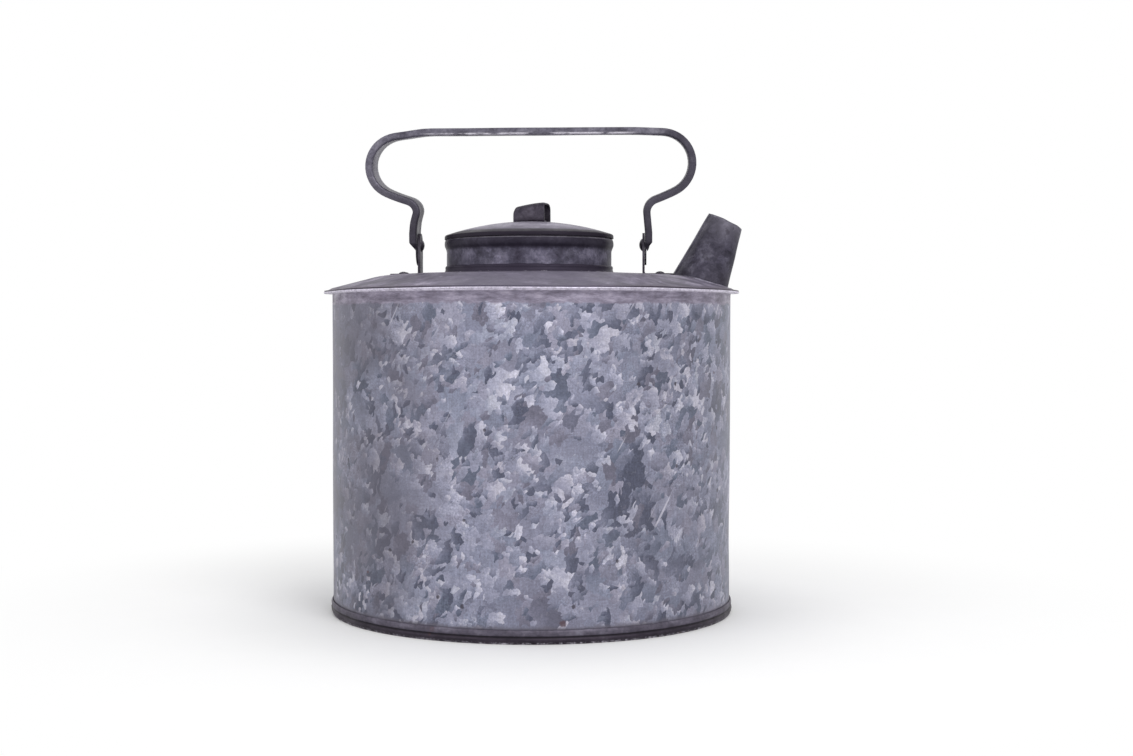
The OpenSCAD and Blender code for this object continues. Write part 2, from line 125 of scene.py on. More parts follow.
def spin_profile(points, centre_x=0.0, steps=256, closed=False):
    """A profile of (radius, height) points, turned full round an upright axis from the back."""
    bm = bmesh.new()
    turn = Matrix.Translation((centre_x, 0, 0)) @ Matrix.Rotation(BACK, 4, "Z")
    verts = [bm.verts.new(turn @ Vector((radius, 0, height))) for radius, height in points]
    pairs = list(zip(verts, verts[1:]))
    if closed:
        pairs.append((verts[-1], verts[0]))
    edges = [bm.edges.new(pair) for pair in pairs]
    bmesh.ops.spin(
        bm, geom=verts + edges, cent=(centre_x, 0, 0), axis=(0, 0, 1), angle=2 * math.pi,
        steps=steps, use_merge=True,
    )
    bmesh.ops.remove_doubles(bm, verts=bm.verts, dist=1e-6)
    return bm


def face_outwards(bm, outside):
    """Turns an open sheet's faces to the side where the function outside(point) points."""
    bm.normal_update()
    agreeing = sum(f.normal.dot(outside(f.calc_center_median())) * f.calc_area() for f in bm.faces)
    if agreeing < 0:
        bmesh.ops.reverse_faces(bm, faces=bm.faces)


def lay_flat(bm, radius, centre_x=0.0):
    """Stores each face's place on the unrolled sheet, in metres, its seam at the back."""
    layer = bm.loops.layers.uv.new("sheet")
    for face in bm.faces:
        middle = apart(around(face.calc_center_median(), centre_x)[0], FRONT)
        for loop in face.loops:
            angle = apart(around(loop.vert.co, centre_x)[0], FRONT)
            loop[layer].uv = ((middle + apart(angle, middle)) * radius, loop.vert.co.z)


def piece(name, bm, body, replaced=(), thickness=0.0, smooth_below=40):
    """A finished mesh as an object that rides on a body and stands for CAD nodes."""
    mesh = bpy.data.meshes.new(name)
    bm.to_mesh(mesh)
    bm.free()
    obj = bpy.data.objects.new(name, mesh)
    bpy.context.scene.collection.objects.link(obj)
    if thickness:
        solid = obj.modifiers.new("sheet", "SOLIDIFY")
        solid.thickness = thickness
        solid.offset = -1
        solid.use_even_offset = True
        solid.use_quality_normals = True
    mesh.shade_smooth()
    mesh.set_sharp_from_angle(angle=math.radians(smooth_below))
    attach(obj, body)
    if replaced:
        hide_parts(*replaced)
    return obj


class Finish:
    """A material, built up node by node. Every method returns an output socket."""

    def __init__(self, name, metallic, specular=0.5):
        self.material = bpy.data.materials.new(name)
        self.material.use_nodes = True
        self.tree = self.material.node_tree
        self.shader = self.tree.nodes["Principled BSDF"]
        self.shader.inputs["Metallic"].default_value = metallic
        self.shader.inputs["Specular IOR Level"].default_value = specular
        place = self.tree.nodes.new("ShaderNodeTexCoord")
        self.place = place.outputs["Object"]
        self.axes = self.node("ShaderNodeSeparateXYZ", {"Vector": self.place}).outputs

    def put(self, socket, value):
        if isinstance(value, bpy.types.NodeSocket):
            self.tree.links.new(value, socket)
        else:
            socket.default_value = value

    def node(self, kind, inputs, **settings):
        made = self.tree.nodes.new(kind)
        for name, value in settings.items():
            setattr(made, name, value)
        for name, value in inputs.items():
            self.put(made.inputs[name], value)
        return made

    def sheet(self):
        """Places on the sheet as it was before it was rolled."""
        return self.node("ShaderNodeUVMap", {}, uv_map="sheet").outputs["UV"]

    def maths(self, operation, a, b=0.0, c=0.0, clamp=False):
        made = self.node("ShaderNodeMath", {}, operation=operation, use_clamp=clamp)
        for index, value in enumerate((a, b, c)):
            self.put(made.inputs[index], value)
        return made.outputs[0]

    def shift(self, operation, a, b):
        """A vector sum; for a distance or a dot product, a number."""
        made = self.node("ShaderNodeVectorMath", {}, operation=operation)
        self.put(made.inputs[0], a)
        self.put(made.inputs[1], b)
        return made.outputs[1 if operation in ("DISTANCE", "DOT_PRODUCT") else 0]

    def stretch(self, vector, scale, turn=(0, 0, 0)):
        inputs = {"Vector": vector, "Scale": scale, "Rotation": turn}
        return self.node("ShaderNodeMapping", inputs).outputs["Vector"]

    def noise(self, vector, scale, detail=4.0, rough=0.55, colour=False):
        inputs = {"Vector": vector, "Scale": scale, "Detail": detail, "Roughness": rough}
        made = self.node("ShaderNodeTexNoise", inputs)
        return made.outputs["Color" if colour else "Fac"]

    def cells(self, vector, scale, output="Color", flat=True):
        """Cells like crystals or chips: each one's colour, its middle, or the way to it."""
        inputs = {"Vector": vector, "Scale": scale}
        kind = "2D" if flat else "3D"
        made = self.node("ShaderNodeTexVoronoi", inputs, voronoi_dimensions=kind)
        return made.outputs[output]

    def warp(self, vector, scale, amount, detail=3.0):
        """A vector pushed about by a cloud of the given scale, by up to half the amount."""
        cloud = self.noise(vector, scale, detail, 0.6, colour=True)
        centred = self.shift("SUBTRACT", cloud, (0.5, 0.5, 0.5))
        made = self.node("ShaderNodeVectorMath", {}, operation="MULTIPLY_ADD")
        self.put(made.inputs[0], centred)
        made.inputs[1].default_value = (amount, amount, amount)
        self.put(made.inputs[2], vector)
        return made.outputs[0]

    def fade(self, value, low, high, start=0.0, end=1.0):
        """A smooth change from start to end while a value goes from low to high."""
        inputs = {"Value": value, "From Min": low, "From Max": high, "To Min": start, "To Max": end}
        made = self.node("ShaderNodeMapRange", inputs, interpolation_type="SMOOTHSTEP")
        return made.outputs["Result"]

    def ramp(self, value, stops):
        """A colour picked from (position, colour) stops."""
        made = self.node("ShaderNodeValToRGB", {"Fac": value})
        points = made.color_ramp.elements
        while len(points) < len(stops):
            points.new(0.5)
        for point, (position, colour) in zip(points, stops):
            point.position = position
            point.color = colour
        return made.outputs["Color"]

    def mix(self, factor, a, b, blend="MIX"):
        made = self.node("ShaderNodeMix", {}, data_type="RGBA", blend_type=blend)
        self.put(made.inputs[0], factor)
        self.put(made.inputs[6], a)
        self.put(made.inputs[7], b)
        return made.outputs[2]

    def grain(self, vector, scale, low, high, detail=5.0, rough=0.6):
        """A grey that wavers between two levels, to multiply a colour by."""
        cloud = self.noise(vector, scale, detail, rough)
        return self.fade(cloud, 0.25, 0.75, low, high)

    def relief(self, height, distance, strength=1.0, normal=None):
        """A bumpy normal, on top of another one if there is one."""
        inputs = {"Height": height, "Distance": distance, "Strength": strength}
        if normal is not None:
            inputs["Normal"] = normal
        return self.node("ShaderNodeBump", inputs).outputs["Normal"]

    def finish(self, colour, roughness, normal=None):
        """Joins up the shader, and gives the material."""
        self.put(self.shader.inputs["Base Color"], colour)
        self.put(self.shader.inputs["Roughness"], roughness)
        if normal is not None:
            self.put(self.shader.inputs["Normal"], normal)
        return self.material


def grey(level):
    return (level, level, level, 1.0)


# The crystals: their size, then for each of three kinds how many fit across that size and how rare
# they are. Slivers make their edges ragged: how many fit across, how wide they are and how they lean.
CRYSTAL = 0.0150
CRYSTAL_KINDS = ((0.85, 0.0), (1.8, 0.42), (4.2, 0.76))
SLIVERS = 9.0
SLIVER = 0.58
SLIVER_TURN = 0.6

ZINC_TONES = [
    (0.0, linear(80, 83, 102)),
    (0.16, linear(98, 101, 121)),
    (0.36, linear(122, 124, 144)),
    (0.62, linear(142, 143, 163)),
    (0.86, linear(164, 164, 183)),
    (1.0, linear(192, 190, 205)),
]
PAINTED_SIDE_SHADE = [(0.0, grey(0.80)), (0.30, grey(0.97)), (0.60, grey(0.99)), (0.95, grey(0.86))]
SCORCH_TONES = [(0.34, linear(88, 81, 96)), (0.50, linear(126, 119, 136)), (0.66, linear(164, 157, 174))]
WARM_CRYSTAL = linear(138, 131, 146)
COOL_CRYSTAL = linear(116, 126, 146)
FROST = linear(202, 200, 212)
SOIL_AND_SHADE = linear(98, 94, 107)
SCRATCH = linear(196, 193, 206)
PIT = linear(58, 54, 64)
LIP_WEAR_AND_REFLECTION = linear(216, 210, 226)
FOOT_SOIL = linear(96, 92, 104)
RUST_SPOT = linear(84, 66, 74)


def pick(finish, factor, a, b):
    """One of two numbers, by a factor of 0 or 1."""
    made = finish.node("ShaderNodeMix", {"Factor": factor}, data_type="FLOAT")
    finish.put(made.inputs[2], a)
    finish.put(made.inputs[3], b)
    return made.outputs[0]


def crystals(finish, vector, size):
    """Jagged zinc crystals of three sizes. Returns each one's tone, tint and streaky grain."""
    bent = finish.warp(vector, 0.7 / size, 0.9 * size, 3.0)
    turned = finish.stretch(bent, (1, 1, 1), (0, 0, SLIVER_TURN))
    slivers = finish.cells(finish.stretch(turned, (1, SLIVER, 1)), SLIVERS / size, "Position")
    flakes = finish.stretch(slivers, (1, 1 / SLIVER, 1))
    cluster = finish.maths("SUBTRACT", finish.noise(vector, 0.25 / size, 2.0, 0.5), 0.5)
    tone = tint = None
    for scale, rarity in CRYSTAL_KINDS:
        inputs = {"Vector": flakes, "Scale": scale / size}
        cell = finish.node("ShaderNodeTexVoronoi", inputs, voronoi_dimensions="2D").outputs
        hue = finish.node("ShaderNodeSeparateColor", {"Color": cell["Color"]}).outputs
        middle = finish.stretch(cell["Position"], (1, 1, 1), (0, 0, -SLIVER_TURN))
        across = finish.shift("SUBTRACT", bent, middle)
        lean = finish.shift("SUBTRACT", cell["Color"], (0.5, 0.5, 0.5))
        slope = finish.shift("DOT_PRODUCT", across, lean)
        level = finish.maths("MULTIPLY_ADD", slope, 0.9 * scale / size, hue["Red"])
        if tone is None:
            tone, tint = level, hue["Blue"]
            continue
        chance = finish.maths("MULTIPLY_ADD", cluster, 1.1, hue["Green"])
        chosen = finish.maths("GREATER_THAN", chance, rarity)
        tone = pick(finish, chosen, tone, level)
        tint = pick(finish, chosen, tint, hue["Blue"])
    combed = finish.node(
        "ShaderNodeVectorRotate",
        {"Vector": vector, "Angle": finish.maths("MULTIPLY", tint, 2 * math.pi)},
        rotation_type="Z_AXIS",
    ).outputs[0]
    grain = finish.noise(finish.stretch(combed, (1.0, 0.22, 1.0)), 3.2 / size, 5.0, 0.68)
    return tone, tint, grain


def spangled_zinc():
    """The wall's zinc: crystals, then dirt, painted shade at the sides, scratches, pits, the scorched top
    and the worn lip with a painted reflection.
    """
    zinc = Finish("spangled_zinc", metallic=0.45)
    sheet = zinc.sheet()
    height = zinc.axes["Z"]
    tone, tint, grain = crystals(zinc, sheet, CRYSTAL)
    feather = zinc.maths("MULTIPLY_ADD", zinc.maths("SUBTRACT", grain, 0.5), 0.55, tone)
    cloud = zinc.maths("SUBTRACT", zinc.noise(sheet, 16, 3, 0.6), 0.5)
    level = zinc.maths("MULTIPLY_ADD", cloud, 0.40, feather)
    colour = zinc.ramp(level, ZINC_TONES)
    warm = zinc.fade(tint, 0.62, 0.95, 0.0, 0.35)
    colour = zinc.mix(warm, colour, WARM_CRYSTAL)
    cool = zinc.fade(tint, 0.35, 0.05, 0.0, 0.30)
    colour = zinc.mix(cool, colour, COOL_CRYSTAL)
    brushed_up = zinc.grain(zinc.stretch(sheet, (1.0, 0.10, 1.0)), 900, 0.90, 1.08)
    brushed_along = zinc.grain(zinc.stretch(sheet, (0.12, 1.0, 1.0)), 800, 0.93, 1.06)
    colour = zinc.mix(1.0, colour, zinc.maths("MULTIPLY", brushed_up, brushed_along), "MULTIPLY")
    mottled = zinc.grain(zinc.warp(sheet, 200, 0.004), 230, 0.81, 1.17, 7.0, 0.78)
    fine = zinc.grain(sheet, 850, 0.78, 1.22, 4.0, 0.8)
    colour = zinc.mix(1.0, colour, zinc.maths("MULTIPLY", mottled, fine), "MULTIPLY")
    crumbly = zinc.fade(zinc.noise(zinc.warp(sheet, 60, 0.012), 36, 4, 0.6), 0.50, 0.60)
    crumbs = zinc.mix(crumbly, grey(1.0), zinc.grain(sheet, 800, 0.66, 1.36, 4.0, 0.8))
    colour = zinc.mix(1.0, colour, crumbs, "MULTIPLY")
    frost = zinc.noise(zinc.warp(sheet, 150, 0.008), 330, 7, 0.75)
    frosted = zinc.maths("MULTIPLY", zinc.fade(frost, 0.56, 0.66), zinc.fade(level, 0.42, 0.85, 0.12, 0.75))
    colour = zinc.mix(frosted, colour, FROST)
    # Stains in patches, made stronger towards the left side: dirt, with painted shade on the left.
    stain = zinc.noise(zinc.place, 15, 5, 0.62)
    left = zinc.fade(zinc.axes["X"], -0.01, -0.10)
    soil_and_left_shade = zinc.maths("MULTIPLY", zinc.fade(stain, 0.40, 0.62), zinc.maths("ADD", left, 0.22), clamp=True)
    colour = zinc.mix(zinc.maths("MULTIPLY", soil_and_left_shade, 0.55), colour, SOIL_AND_SHADE)
    # Painted shade: the wall's colour is multiplied darker towards its left and right sides.
    sides = zinc.ramp(zinc.fade(zinc.axes["X"], -0.10, 0.10), PAINTED_SIDE_SHADE)
    colour = zinc.mix(1.0, colour, sides, "MULTIPLY")
    leaning = zinc.stretch(sheet, (1.0, 1.0, 1.0), (0, 0, 0.55))
    streaks = zinc.noise(zinc.stretch(leaning, (1.0, 0.04, 1.0)), 330, 2, 0.5)
    some_places = zinc.fade(zinc.noise(sheet, 22, 2), 0.50, 0.60)
    scratched = zinc.maths("MULTIPLY", zinc.fade(streaks, 0.68, 0.72), some_places)
    colour = zinc.mix(zinc.maths("MULTIPLY", scratched, 0.6), colour, SCRATCH)
    pits = zinc.cells(zinc.warp(sheet, 300, 0.003), 52, "Distance")
    some_pits = zinc.fade(zinc.noise(sheet, 33, 1), 0.56, 0.60)
    pitted = zinc.maths("MULTIPLY", zinc.fade(pits, 0.075, 0.035), some_pits)
    colour = zinc.mix(zinc.maths("MULTIPLY", pitted, 0.85), colour, PIT)
    ragged = zinc.maths("MULTIPLY_ADD", zinc.noise(sheet, 95, 5, 0.6), 0.0075, height)
    scorch = zinc.fade(ragged, WALL_TOP - 0.0062, WALL_TOP - 0.0048, 0.0, 0.92)
    scorched = zinc.ramp(zinc.noise(zinc.stretch(sheet, (1.0, 3.5, 1.0)), 70, 6, 0.72), SCORCH_TONES)
    colour = zinc.mix(scorch, colour, scorched)
    # A pale band round the flared lip, in patches: wear, and a painted reflection of the floor on the
    # flange's underside.
    lip = zinc.fade(height, WALL_TOP - 0.0026, WALL_TOP - 0.0017)
    worn = zinc.fade(zinc.noise(zinc.place, 420, 5, 0.7), 0.36, 0.60, 0.45, 1.0)
    colour = zinc.mix(zinc.maths("MULTIPLY", lip, worn), colour, LIP_WEAR_AND_REFLECTION)
    foot_edge = zinc.maths("MULTIPLY_ADD", zinc.noise(sheet, 70, 5, 0.7), -0.006, height)
    colour = zinc.mix(zinc.fade(foot_edge, 0.0080, 0.0050, 0.0, 0.8), colour, FOOT_SOIL)
    for place, size in RUST_SPOTS:
        away = zinc.shift("DISTANCE", zinc.warp(zinc.place, 500, 0.0018), place)
        colour = zinc.mix(zinc.fade(away, size, size * 0.55, 0.0, 0.9), colour, RUST_SPOT)
    rough = zinc.fade(level, 0.0, 1.0, 0.40, 0.56)
    edges = zinc.relief(tone, 0.00012, 0.5)
    normal = zinc.relief(zinc.noise(sheet, 800, 6, 0.68), 0.00008, 0.6, edges)
    return zinc.finish(colour, rough, normal)


def on_wall(angle_from_front, height, proud=0.0):
    """A point of the wall, its angle in degrees to the right of the front."""
    angle = FRONT + math.radians(angle_from_front)
    radius = WALL_FOOT_R + (WALL_R - WALL_FOOT_R) * height / WALL_TOP + proud
    return Vector((radius * math.cos(angle), radius * math.sin(angle), height))


# Rust spots: place and size. Dents: angle from the front, height, width and depth.
RUST_SPOTS = [(on_wall(11.6, 0.0115), 0.0024), (on_wall(-47, 0.034), 0.0012), (on_wall(64, 0.150), 0.001)]
DENTS = [
    (-52, 0.060, 0.030, 0.0007),
    (38, 0.150, 0.026, 0.0005),
    (160, 0.090, 0.034, 0.0009),
    (-130, 0.130, 0.028, 0.0007),
    (95, 0.050, 0.022, 0.0006),
    (-15, 0.028, 0.020, 0.0004),
]


def flange_lift(angle):
    """How far the can's top flange is bent up or down at an angle."""
    sides = -SIDE_DIP * (abs(math.cos(angle)) ** 3)
    front = -FRONT_DIP * bell(apart(angle, FRONT), 1.0)
    dent = -EDGE_DENT * bell(apart(angle, EDGE_DENT_AT), 0.14)
    wave = EDGE_WAVE * noise.noise(Vector((math.cos(angle), math.sin(angle), 0)) * 2.3)
    return sides + front + dent + wave


def bend_flange(bm):
    """Bends the outer part of a sheet, where the two top flanges lie together."""
    for vert in bm.verts:
        angle, radius = around(vert.co)
        share = min(1.0, max(0.0, (radius - WALL_R - BEND_START) / (FLANGE_W - BEND_START)))
        vert.co.z += share * flange_lift(angle)


flare_z = WALL_TOP - (FLANGE_W - FLARE_R) * math.sin(FLANGE_TILT) - FLARE_R
flare_centre = (WALL_R + FLARE_R, flare_z)
flare = arc(flare_centre, FLARE_R, 180, 98, 8)
wall_profile = line((WALL_FOOT_R, WALL_FOOT_Z), flare[0], 56) + flare
wall_profile.append((FLANGE_R - FLANGE_WORN, WALL_TOP - SHEET))
wall = spin_profile(wall_profile, steps=320)
for vert in wall.verts:
    angle, radius = around(vert.co)
    upright = bell(vert.co.z - 0.1, 0.075)
    swell = WALL_WAVE * upright * noise.noise(vert.co * 11)
    for turn, height, width, depth in DENTS:
        swell -= depth * bell((vert.co - on_wall(turn, height)).length, width)
    lap = LAP_HALF - abs(apart(angle, BACK)) * radius
    if lap > -LAP_RAMP and LAP_LOW < vert.co.z < flare_z - 0.001:
        swell += SHEET * 0.9 * min(1.0, (lap + LAP_RAMP) / (2 * LAP_RAMP))
    vert.co.x *= 1 + swell / radius
    vert.co.y *= 1 + swell / radius
bend_flange(wall)
face_outwards(wall, lambda point: Vector((point.x, point.y, 0)))
lay_flat(wall, WALL_R)
wall = piece("can_wall", wall, "can", ["body_wall"], SHEET)
wall.data.materials.append(spangled_zinc())


# ---- Base ----
# One pressed floor. Its edge is folded down to a foot, under the wall and up its outside in two ribs,
# the lower one darker and rubbed bright where it scrapes the ground.

RIM_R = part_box("base_pan")[1].x
RIM_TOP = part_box("base_pan")[1].z
FLOOR_Z = 0.006
FLOOR_CORNER = 0.002
RIM_DEPTH = 0.002
RIB = 0.0008
RIM_CORNER = 0.0006
RIM_DENT = 0.00022
RIM_PITTING = 0.00015
RIM_INSET = 0.0002


def rib(low, high, bulge, steps=8):
    """A round rib on the rim's outside, from its lower to its upper edge."""
    heights = [low + (high - low) * i / steps for i in range(steps + 1)]
    return [
        (RIM_R - RIB + bulge * math.sin(math.pi * (z - low) / (high - low)) ** 0.7, z) for z in heights
    ]


LOW_RIB_TONES = [(0.3, linear(34, 29, 38)), (0.6, linear(58, 51, 62)), (0.8, linear(90, 84, 95))]
TOP_RIB_TONES = [(0.3, linear(60, 55, 66)), (0.55, linear(88, 83, 96)), (0.8, linear(126, 122, 137))]
GROOVE_DIRT = linear(28, 24, 32)
BARE_FOOT = linear(176, 172, 182)
BASE_RUST = linear(88, 62, 56)


def base_zinc():
    """The floor's zinc: two ribs of different tones, a dirty groove, and a foot rubbed bare."""
    zinc = Finish("base_zinc", metallic=0.35, specular=0.2)
    place = zinc.place
    height = zinc.axes["Z"]
    cloud = zinc.noise(zinc.stretch(place, (1, 1, 2.5)), 48, 6, 0.65)
    upper = zinc.fade(height, RIM_TOP * 0.5, RIM_TOP * 0.62)
    colour = zinc.mix(upper, zinc.ramp(cloud, LOW_RIB_TONES), zinc.ramp(cloud, TOP_RIB_TONES))
    groove = zinc.maths("ABSOLUTE", zinc.maths("SUBTRACT", height, RIM_TOP * 0.5))
    colour = zinc.mix(zinc.fade(groove, 0.0009, 0.0002, 0.0, 0.85), colour, GROOVE_DIRT)
    colour = zinc.mix(1.0, colour, zinc.grain(place, 420, 0.8, 1.2), "MULTIPLY")
    scraped = zinc.fade(zinc.noise(place, 620, 5, 0.8), 0.48, 0.62)
    bare = zinc.maths("MULTIPLY", zinc.fade(height, 0.0016, 0.0004), scraped)
    colour = zinc.mix(bare, colour, BARE_FOOT)
    rust = zinc.fade(zinc.noise(place, 70, 6, 0.7), 0.63, 0.70, 0.0, 0.55)
    colour = zinc.mix(rust, colour, BASE_RUST)
    normal = zinc.relief(zinc.noise(place, 420, 6, 0.65), 0.00018, 0.7)
    return zinc.finish(colour, zinc.grain(place, 90, 0.42, 0.62), normal)


def outside_of_base(point):
    if point.z > FLOOR_Z - 0.0001 or around(point)[1] > RIM_R - RIM_DEPTH:
        return Vector((point.x, point.y, -0.05))
    return Vector((0, 0, -1))


inner_r = WALL_FOOT_R - 2 * SHEET
base_profile = [(0.0, FLOOR_Z)] + line((0.01, FLOOR_Z), (inner_r - FLOOR_CORNER, FLOOR_Z), 12)
base_profile += arc((inner_r - FLOOR_CORNER, FLOOR_Z - FLOOR_CORNER), FLOOR_CORNER, 90, 0, 5)
base_profile += arc((inner_r + RIM_CORNER, RIM_CORNER), RIM_CORNER, 180, 270, 4)
base_profile += arc((RIM_R - RIB - RIM_CORNER, RIM_CORNER), RIM_CORNER, 270, 350, 4)
base_profile += rib(RIM_CORNER * 1.6, RIM_TOP * 0.5, RIB)
base_profile += rib(RIM_TOP * 0.5 + 0.0002, RIM_TOP, RIB * 0.75)
base = spin_profile(base_profile, steps=320)
for vert in base.verts:
    angle, radius = around(vert.co)
    if radius > RIM_R - RIM_DEPTH and vert.co.z > 0.0002:
        push = RIM_DENT * noise.noise(vert.co * 60) + RIM_PITTING * noise.noise(vert.co * 190)
        vert.co.x *= 1 + (push - RIM_INSET) / radius
        vert.co.y *= 1 + (push - RIM_INSET) / radius
face_outwards(base, outside_of_base)
base = piece("can_base", base, "can", ["base_pan"], SHEET * 0.9)
base.data.materials.append(base_zinc())


# ---- Breast ----
# One dished sheet over the wall. Its edge lies on the wall's flange, and a collar is turned up in its
# middle round the neck. The spout's hole is cut through its slope. Its zinc is dull and heat-stained.

COLLAR_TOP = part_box("breast")[1].z
VALLEY_R = WALL_R + FLARE_R * (1 - math.sin(FLANGE_TILT))
VALLEY_Z = WALL_TOP + 0.00045
EDGE_RISE = 0.0004
DECK_R = 0.088
SLOPE = math.radians(15)
SHOULDER_R = 0.05
SLOPE_R = DECK_R + SHOULDER_R * math.sin(SLOPE)
DECK_Z = VALLEY_Z + (VALLEY_R - SLOPE_R) * math.tan(SLOPE) + SHOULDER_R * (1 - math.cos(SLOPE))
NECK_X = (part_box("neck_collar")[0].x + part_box("neck_collar")[1].x) / 2
NECK_R = 0.052
COLLAR_R = NECK_R + SHEET + 0.00005
COLLAR_FILLET = 0.0026
THROAT_R = COLLAR_R + COLLAR_FILLET
CROWN_H = 0.0012
CROWN_W = 0.009
CROWN_STEPS = 8
SLOPE_SAG = 0.0005
SLOPE_SAG_R = 0.092


def breast_height(radius):
    """Height of the breast's upper face at a radius from the can's axis."""
    if radius < DECK_R:
        return DECK_Z
    if radius < SLOPE_R:
        return DECK_Z - SHOULDER_R + math.sqrt(SHOULDER_R**2 - (radius - DECK_R) ** 2)
    return VALLEY_Z + (VALLEY_R - radius) * math.tan(SLOPE)


DULL_RUST = linear(104, 78, 76)


def dull_zinc(name, tones, scale=0.011):
    """Dull, stained zinc with faint crystals, for the sheets above the wall."""
    zinc = Finish(name, metallic=0.4, specular=0.2)
    place = zinc.place
    pushed = zinc.warp(place, 60, 0.008)
    chips = zinc.cells(pushed, 4.2 / scale, "Position", flat=False)
    crystal = zinc.cells(chips, 1.0 / scale, flat=False)
    level = zinc.node("ShaderNodeSeparateColor", {"Color": crystal}).outputs["Red"]
    soft = zinc.fade(zinc.noise(pushed, 70, 7, 0.7), 0.30, 0.70, -0.1, 0.6)
    colour = zinc.ramp(zinc.maths("MULTIPLY_ADD", level, 0.45, soft), tones)
    cloud = zinc.noise(place, 26, 6, 0.65)
    colour = zinc.mix(zinc.fade(cloud, 0.42, 0.66, 0.0, 0.6), colour, tones[0][1])
    colour = zinc.mix(1.0, colour, zinc.grain(place, 380, 0.82, 1.18, 6.0, 0.75), "MULTIPLY")
    colour = zinc.mix(1.0, colour, zinc.grain(place, 70, 0.88, 1.08), "MULTIPLY")
    rust = zinc.fade(zinc.noise(place, 95, 6, 0.72), 0.665, 0.72, 0.0, 0.5)
    colour = zinc.mix(rust, colour, DULL_RUST)
    normal = zinc.relief(zinc.noise(place, 650, 5, 0.65), 0.00009, 0.6, zinc.relief(level, 0.00006, 0.4))
    return zinc, colour, normal


BREAST_TONES = [
    (0.0, linear(76, 70, 86)),
    (0.4, linear(102, 96, 113)),
    (0.8, linear(128, 121, 139)),
    (1.0, linear(156, 149, 166)),
]
VALLEY_DIRT_AND_SHADE = linear(92, 84, 96)
EDGE_DIRT_AND_SHADE = linear(66, 60, 72)
FRONT_STAIN = linear(90, 85, 102)
NECK_SOOT = linear(84, 79, 92)
COLLAR_SOOT = linear(48, 42, 57)
PALE_JOINT = linear(150, 144, 158)

breast_profile = line((FLANGE_R - FLANGE_WORN, VALLEY_Z + EDGE_RISE), (VALLEY_R, VALLEY_Z), 4)
breast_profile += line((VALLEY_R, VALLEY_Z), (SLOPE_R, breast_height(SLOPE_R)), 14)
breast_profile += arc((DECK_R, DECK_Z - SHOULDER_R), SHOULDER_R, 75, 90, 10)
breast_profile += line((DECK_R - 0.001, DECK_Z), (THROAT_R + CROWN_W, DECK_Z), 14)
for i in range(CROWN_STEPS):
    share = i / CROWN_STEPS
    crown = CROWN_H * math.sin(math.pi / 2 * share) ** 1.5
    breast_profile.append((THROAT_R + CROWN_W * (1 - share), DECK_Z + crown))
breast_profile += arc((THROAT_R, DECK_Z + CROWN_H + COLLAR_FILLET), COLLAR_FILLET, 270, 180, 8)
breast_profile.append((COLLAR_R, COLLAR_TOP))
breast = spin_profile(breast_profile, steps=320)
for vert in breast.verts:
    angle, radius = around(vert.co)
    sag = bell(radius - SLOPE_SAG_R, 0.022) if radius > 0.06 else 0.0
    vert.co.z += SLOPE_SAG * sag * noise.noise(vert.co * 16)
    vert.co.x += NECK_X * min(1.0, max(0.0, (0.08 - radius) / 0.014))
bend_flange(breast)
face_outwards(breast, lambda point: Vector((0, 0, 1)))
breast = piece("can_breast", breast, "can", ["breast"], SHEET)
zinc, colour, normal = dull_zinc("breast_zinc", BREAST_TONES)
# Dark in the valley where the breast meets the flange: dirt, and a painted shadow in the gap.
ragged_noise = zinc.noise(zinc.place, 120, 5, 0.65)
reach = zinc.node("ShaderNodeCombineXYZ", {"X": zinc.axes["X"], "Y": zinc.axes["Y"]}).outputs[0]
radius = zinc.shift("DISTANCE", reach, (0, 0, 0))
near_edge = zinc.maths("MULTIPLY_ADD", ragged_noise, 0.006, radius)
valley_shade_and_dirt = zinc.fade(near_edge, VALLEY_R - 0.001, VALLEY_R + 0.003, 0.0, 0.7)
colour = zinc.mix(valley_shade_and_dirt, colour, VALLEY_DIRT_AND_SHADE)
# The breast's outermost edge is darkened: dirt, and painted shade on the edge.
colour = zinc.mix(zinc.fade(radius, FLANGE_R - 0.0010, FLANGE_R - 0.0005), colour, EDGE_DIRT_AND_SHADE)
stained = zinc.shift("DISTANCE", zinc.warp(zinc.place, 40, 0.02), (0.004, -0.112, DECK_Z - 0.005))
colour = zinc.mix(zinc.fade(stained, 0.070, 0.030, 0.0, 0.70), colour, FRONT_STAIN)
near_neck = zinc.shift("DISTANCE", reach, (NECK_X, 0, 0))
soot = zinc.maths("MULTIPLY_ADD", ragged_noise, -0.012, near_neck)
colour = zinc.mix(zinc.fade(soot, COLLAR_R + 0.004, COLLAR_R - 0.006, 0.0, 0.7), colour, NECK_SOOT)
collar = zinc.fade(zinc.axes["Z"], DECK_Z + CROWN_H - 0.0002, DECK_Z + CROWN_H + 0.0010)
pale_joint = zinc.fade(zinc.noise(zinc.place, 210, 5, 0.75), 0.52, 0.60, 0.0, 0.7)
colour = zinc.mix(collar, colour, COLLAR_SOOT)
foot_line = zinc.maths("ABSOLUTE", zinc.maths("SUBTRACT", zinc.axes["Z"], DECK_Z + CROWN_H + 0.0003))
foot_line = zinc.maths("MULTIPLY", zinc.fade(foot_line, 0.0006, 0.0002), pale_joint)
by_the_neck = zinc.fade(near_neck, THROAT_R + 0.004, THROAT_R + 0.002)
colour = zinc.mix(zinc.maths("MULTIPLY", foot_line, by_the_neck), colour, PALE_JOINT)
breast.data.materials.append(zinc.finish(colour, zinc.grain(zinc.place, 60, 0.40, 0.58), normal))


# ---- Neck ----
# A ring of dark, sooty sheet soldered into the breast's collar, lapped at the back. Its top edge is
# folded outwards to a hem that the lid rests on.

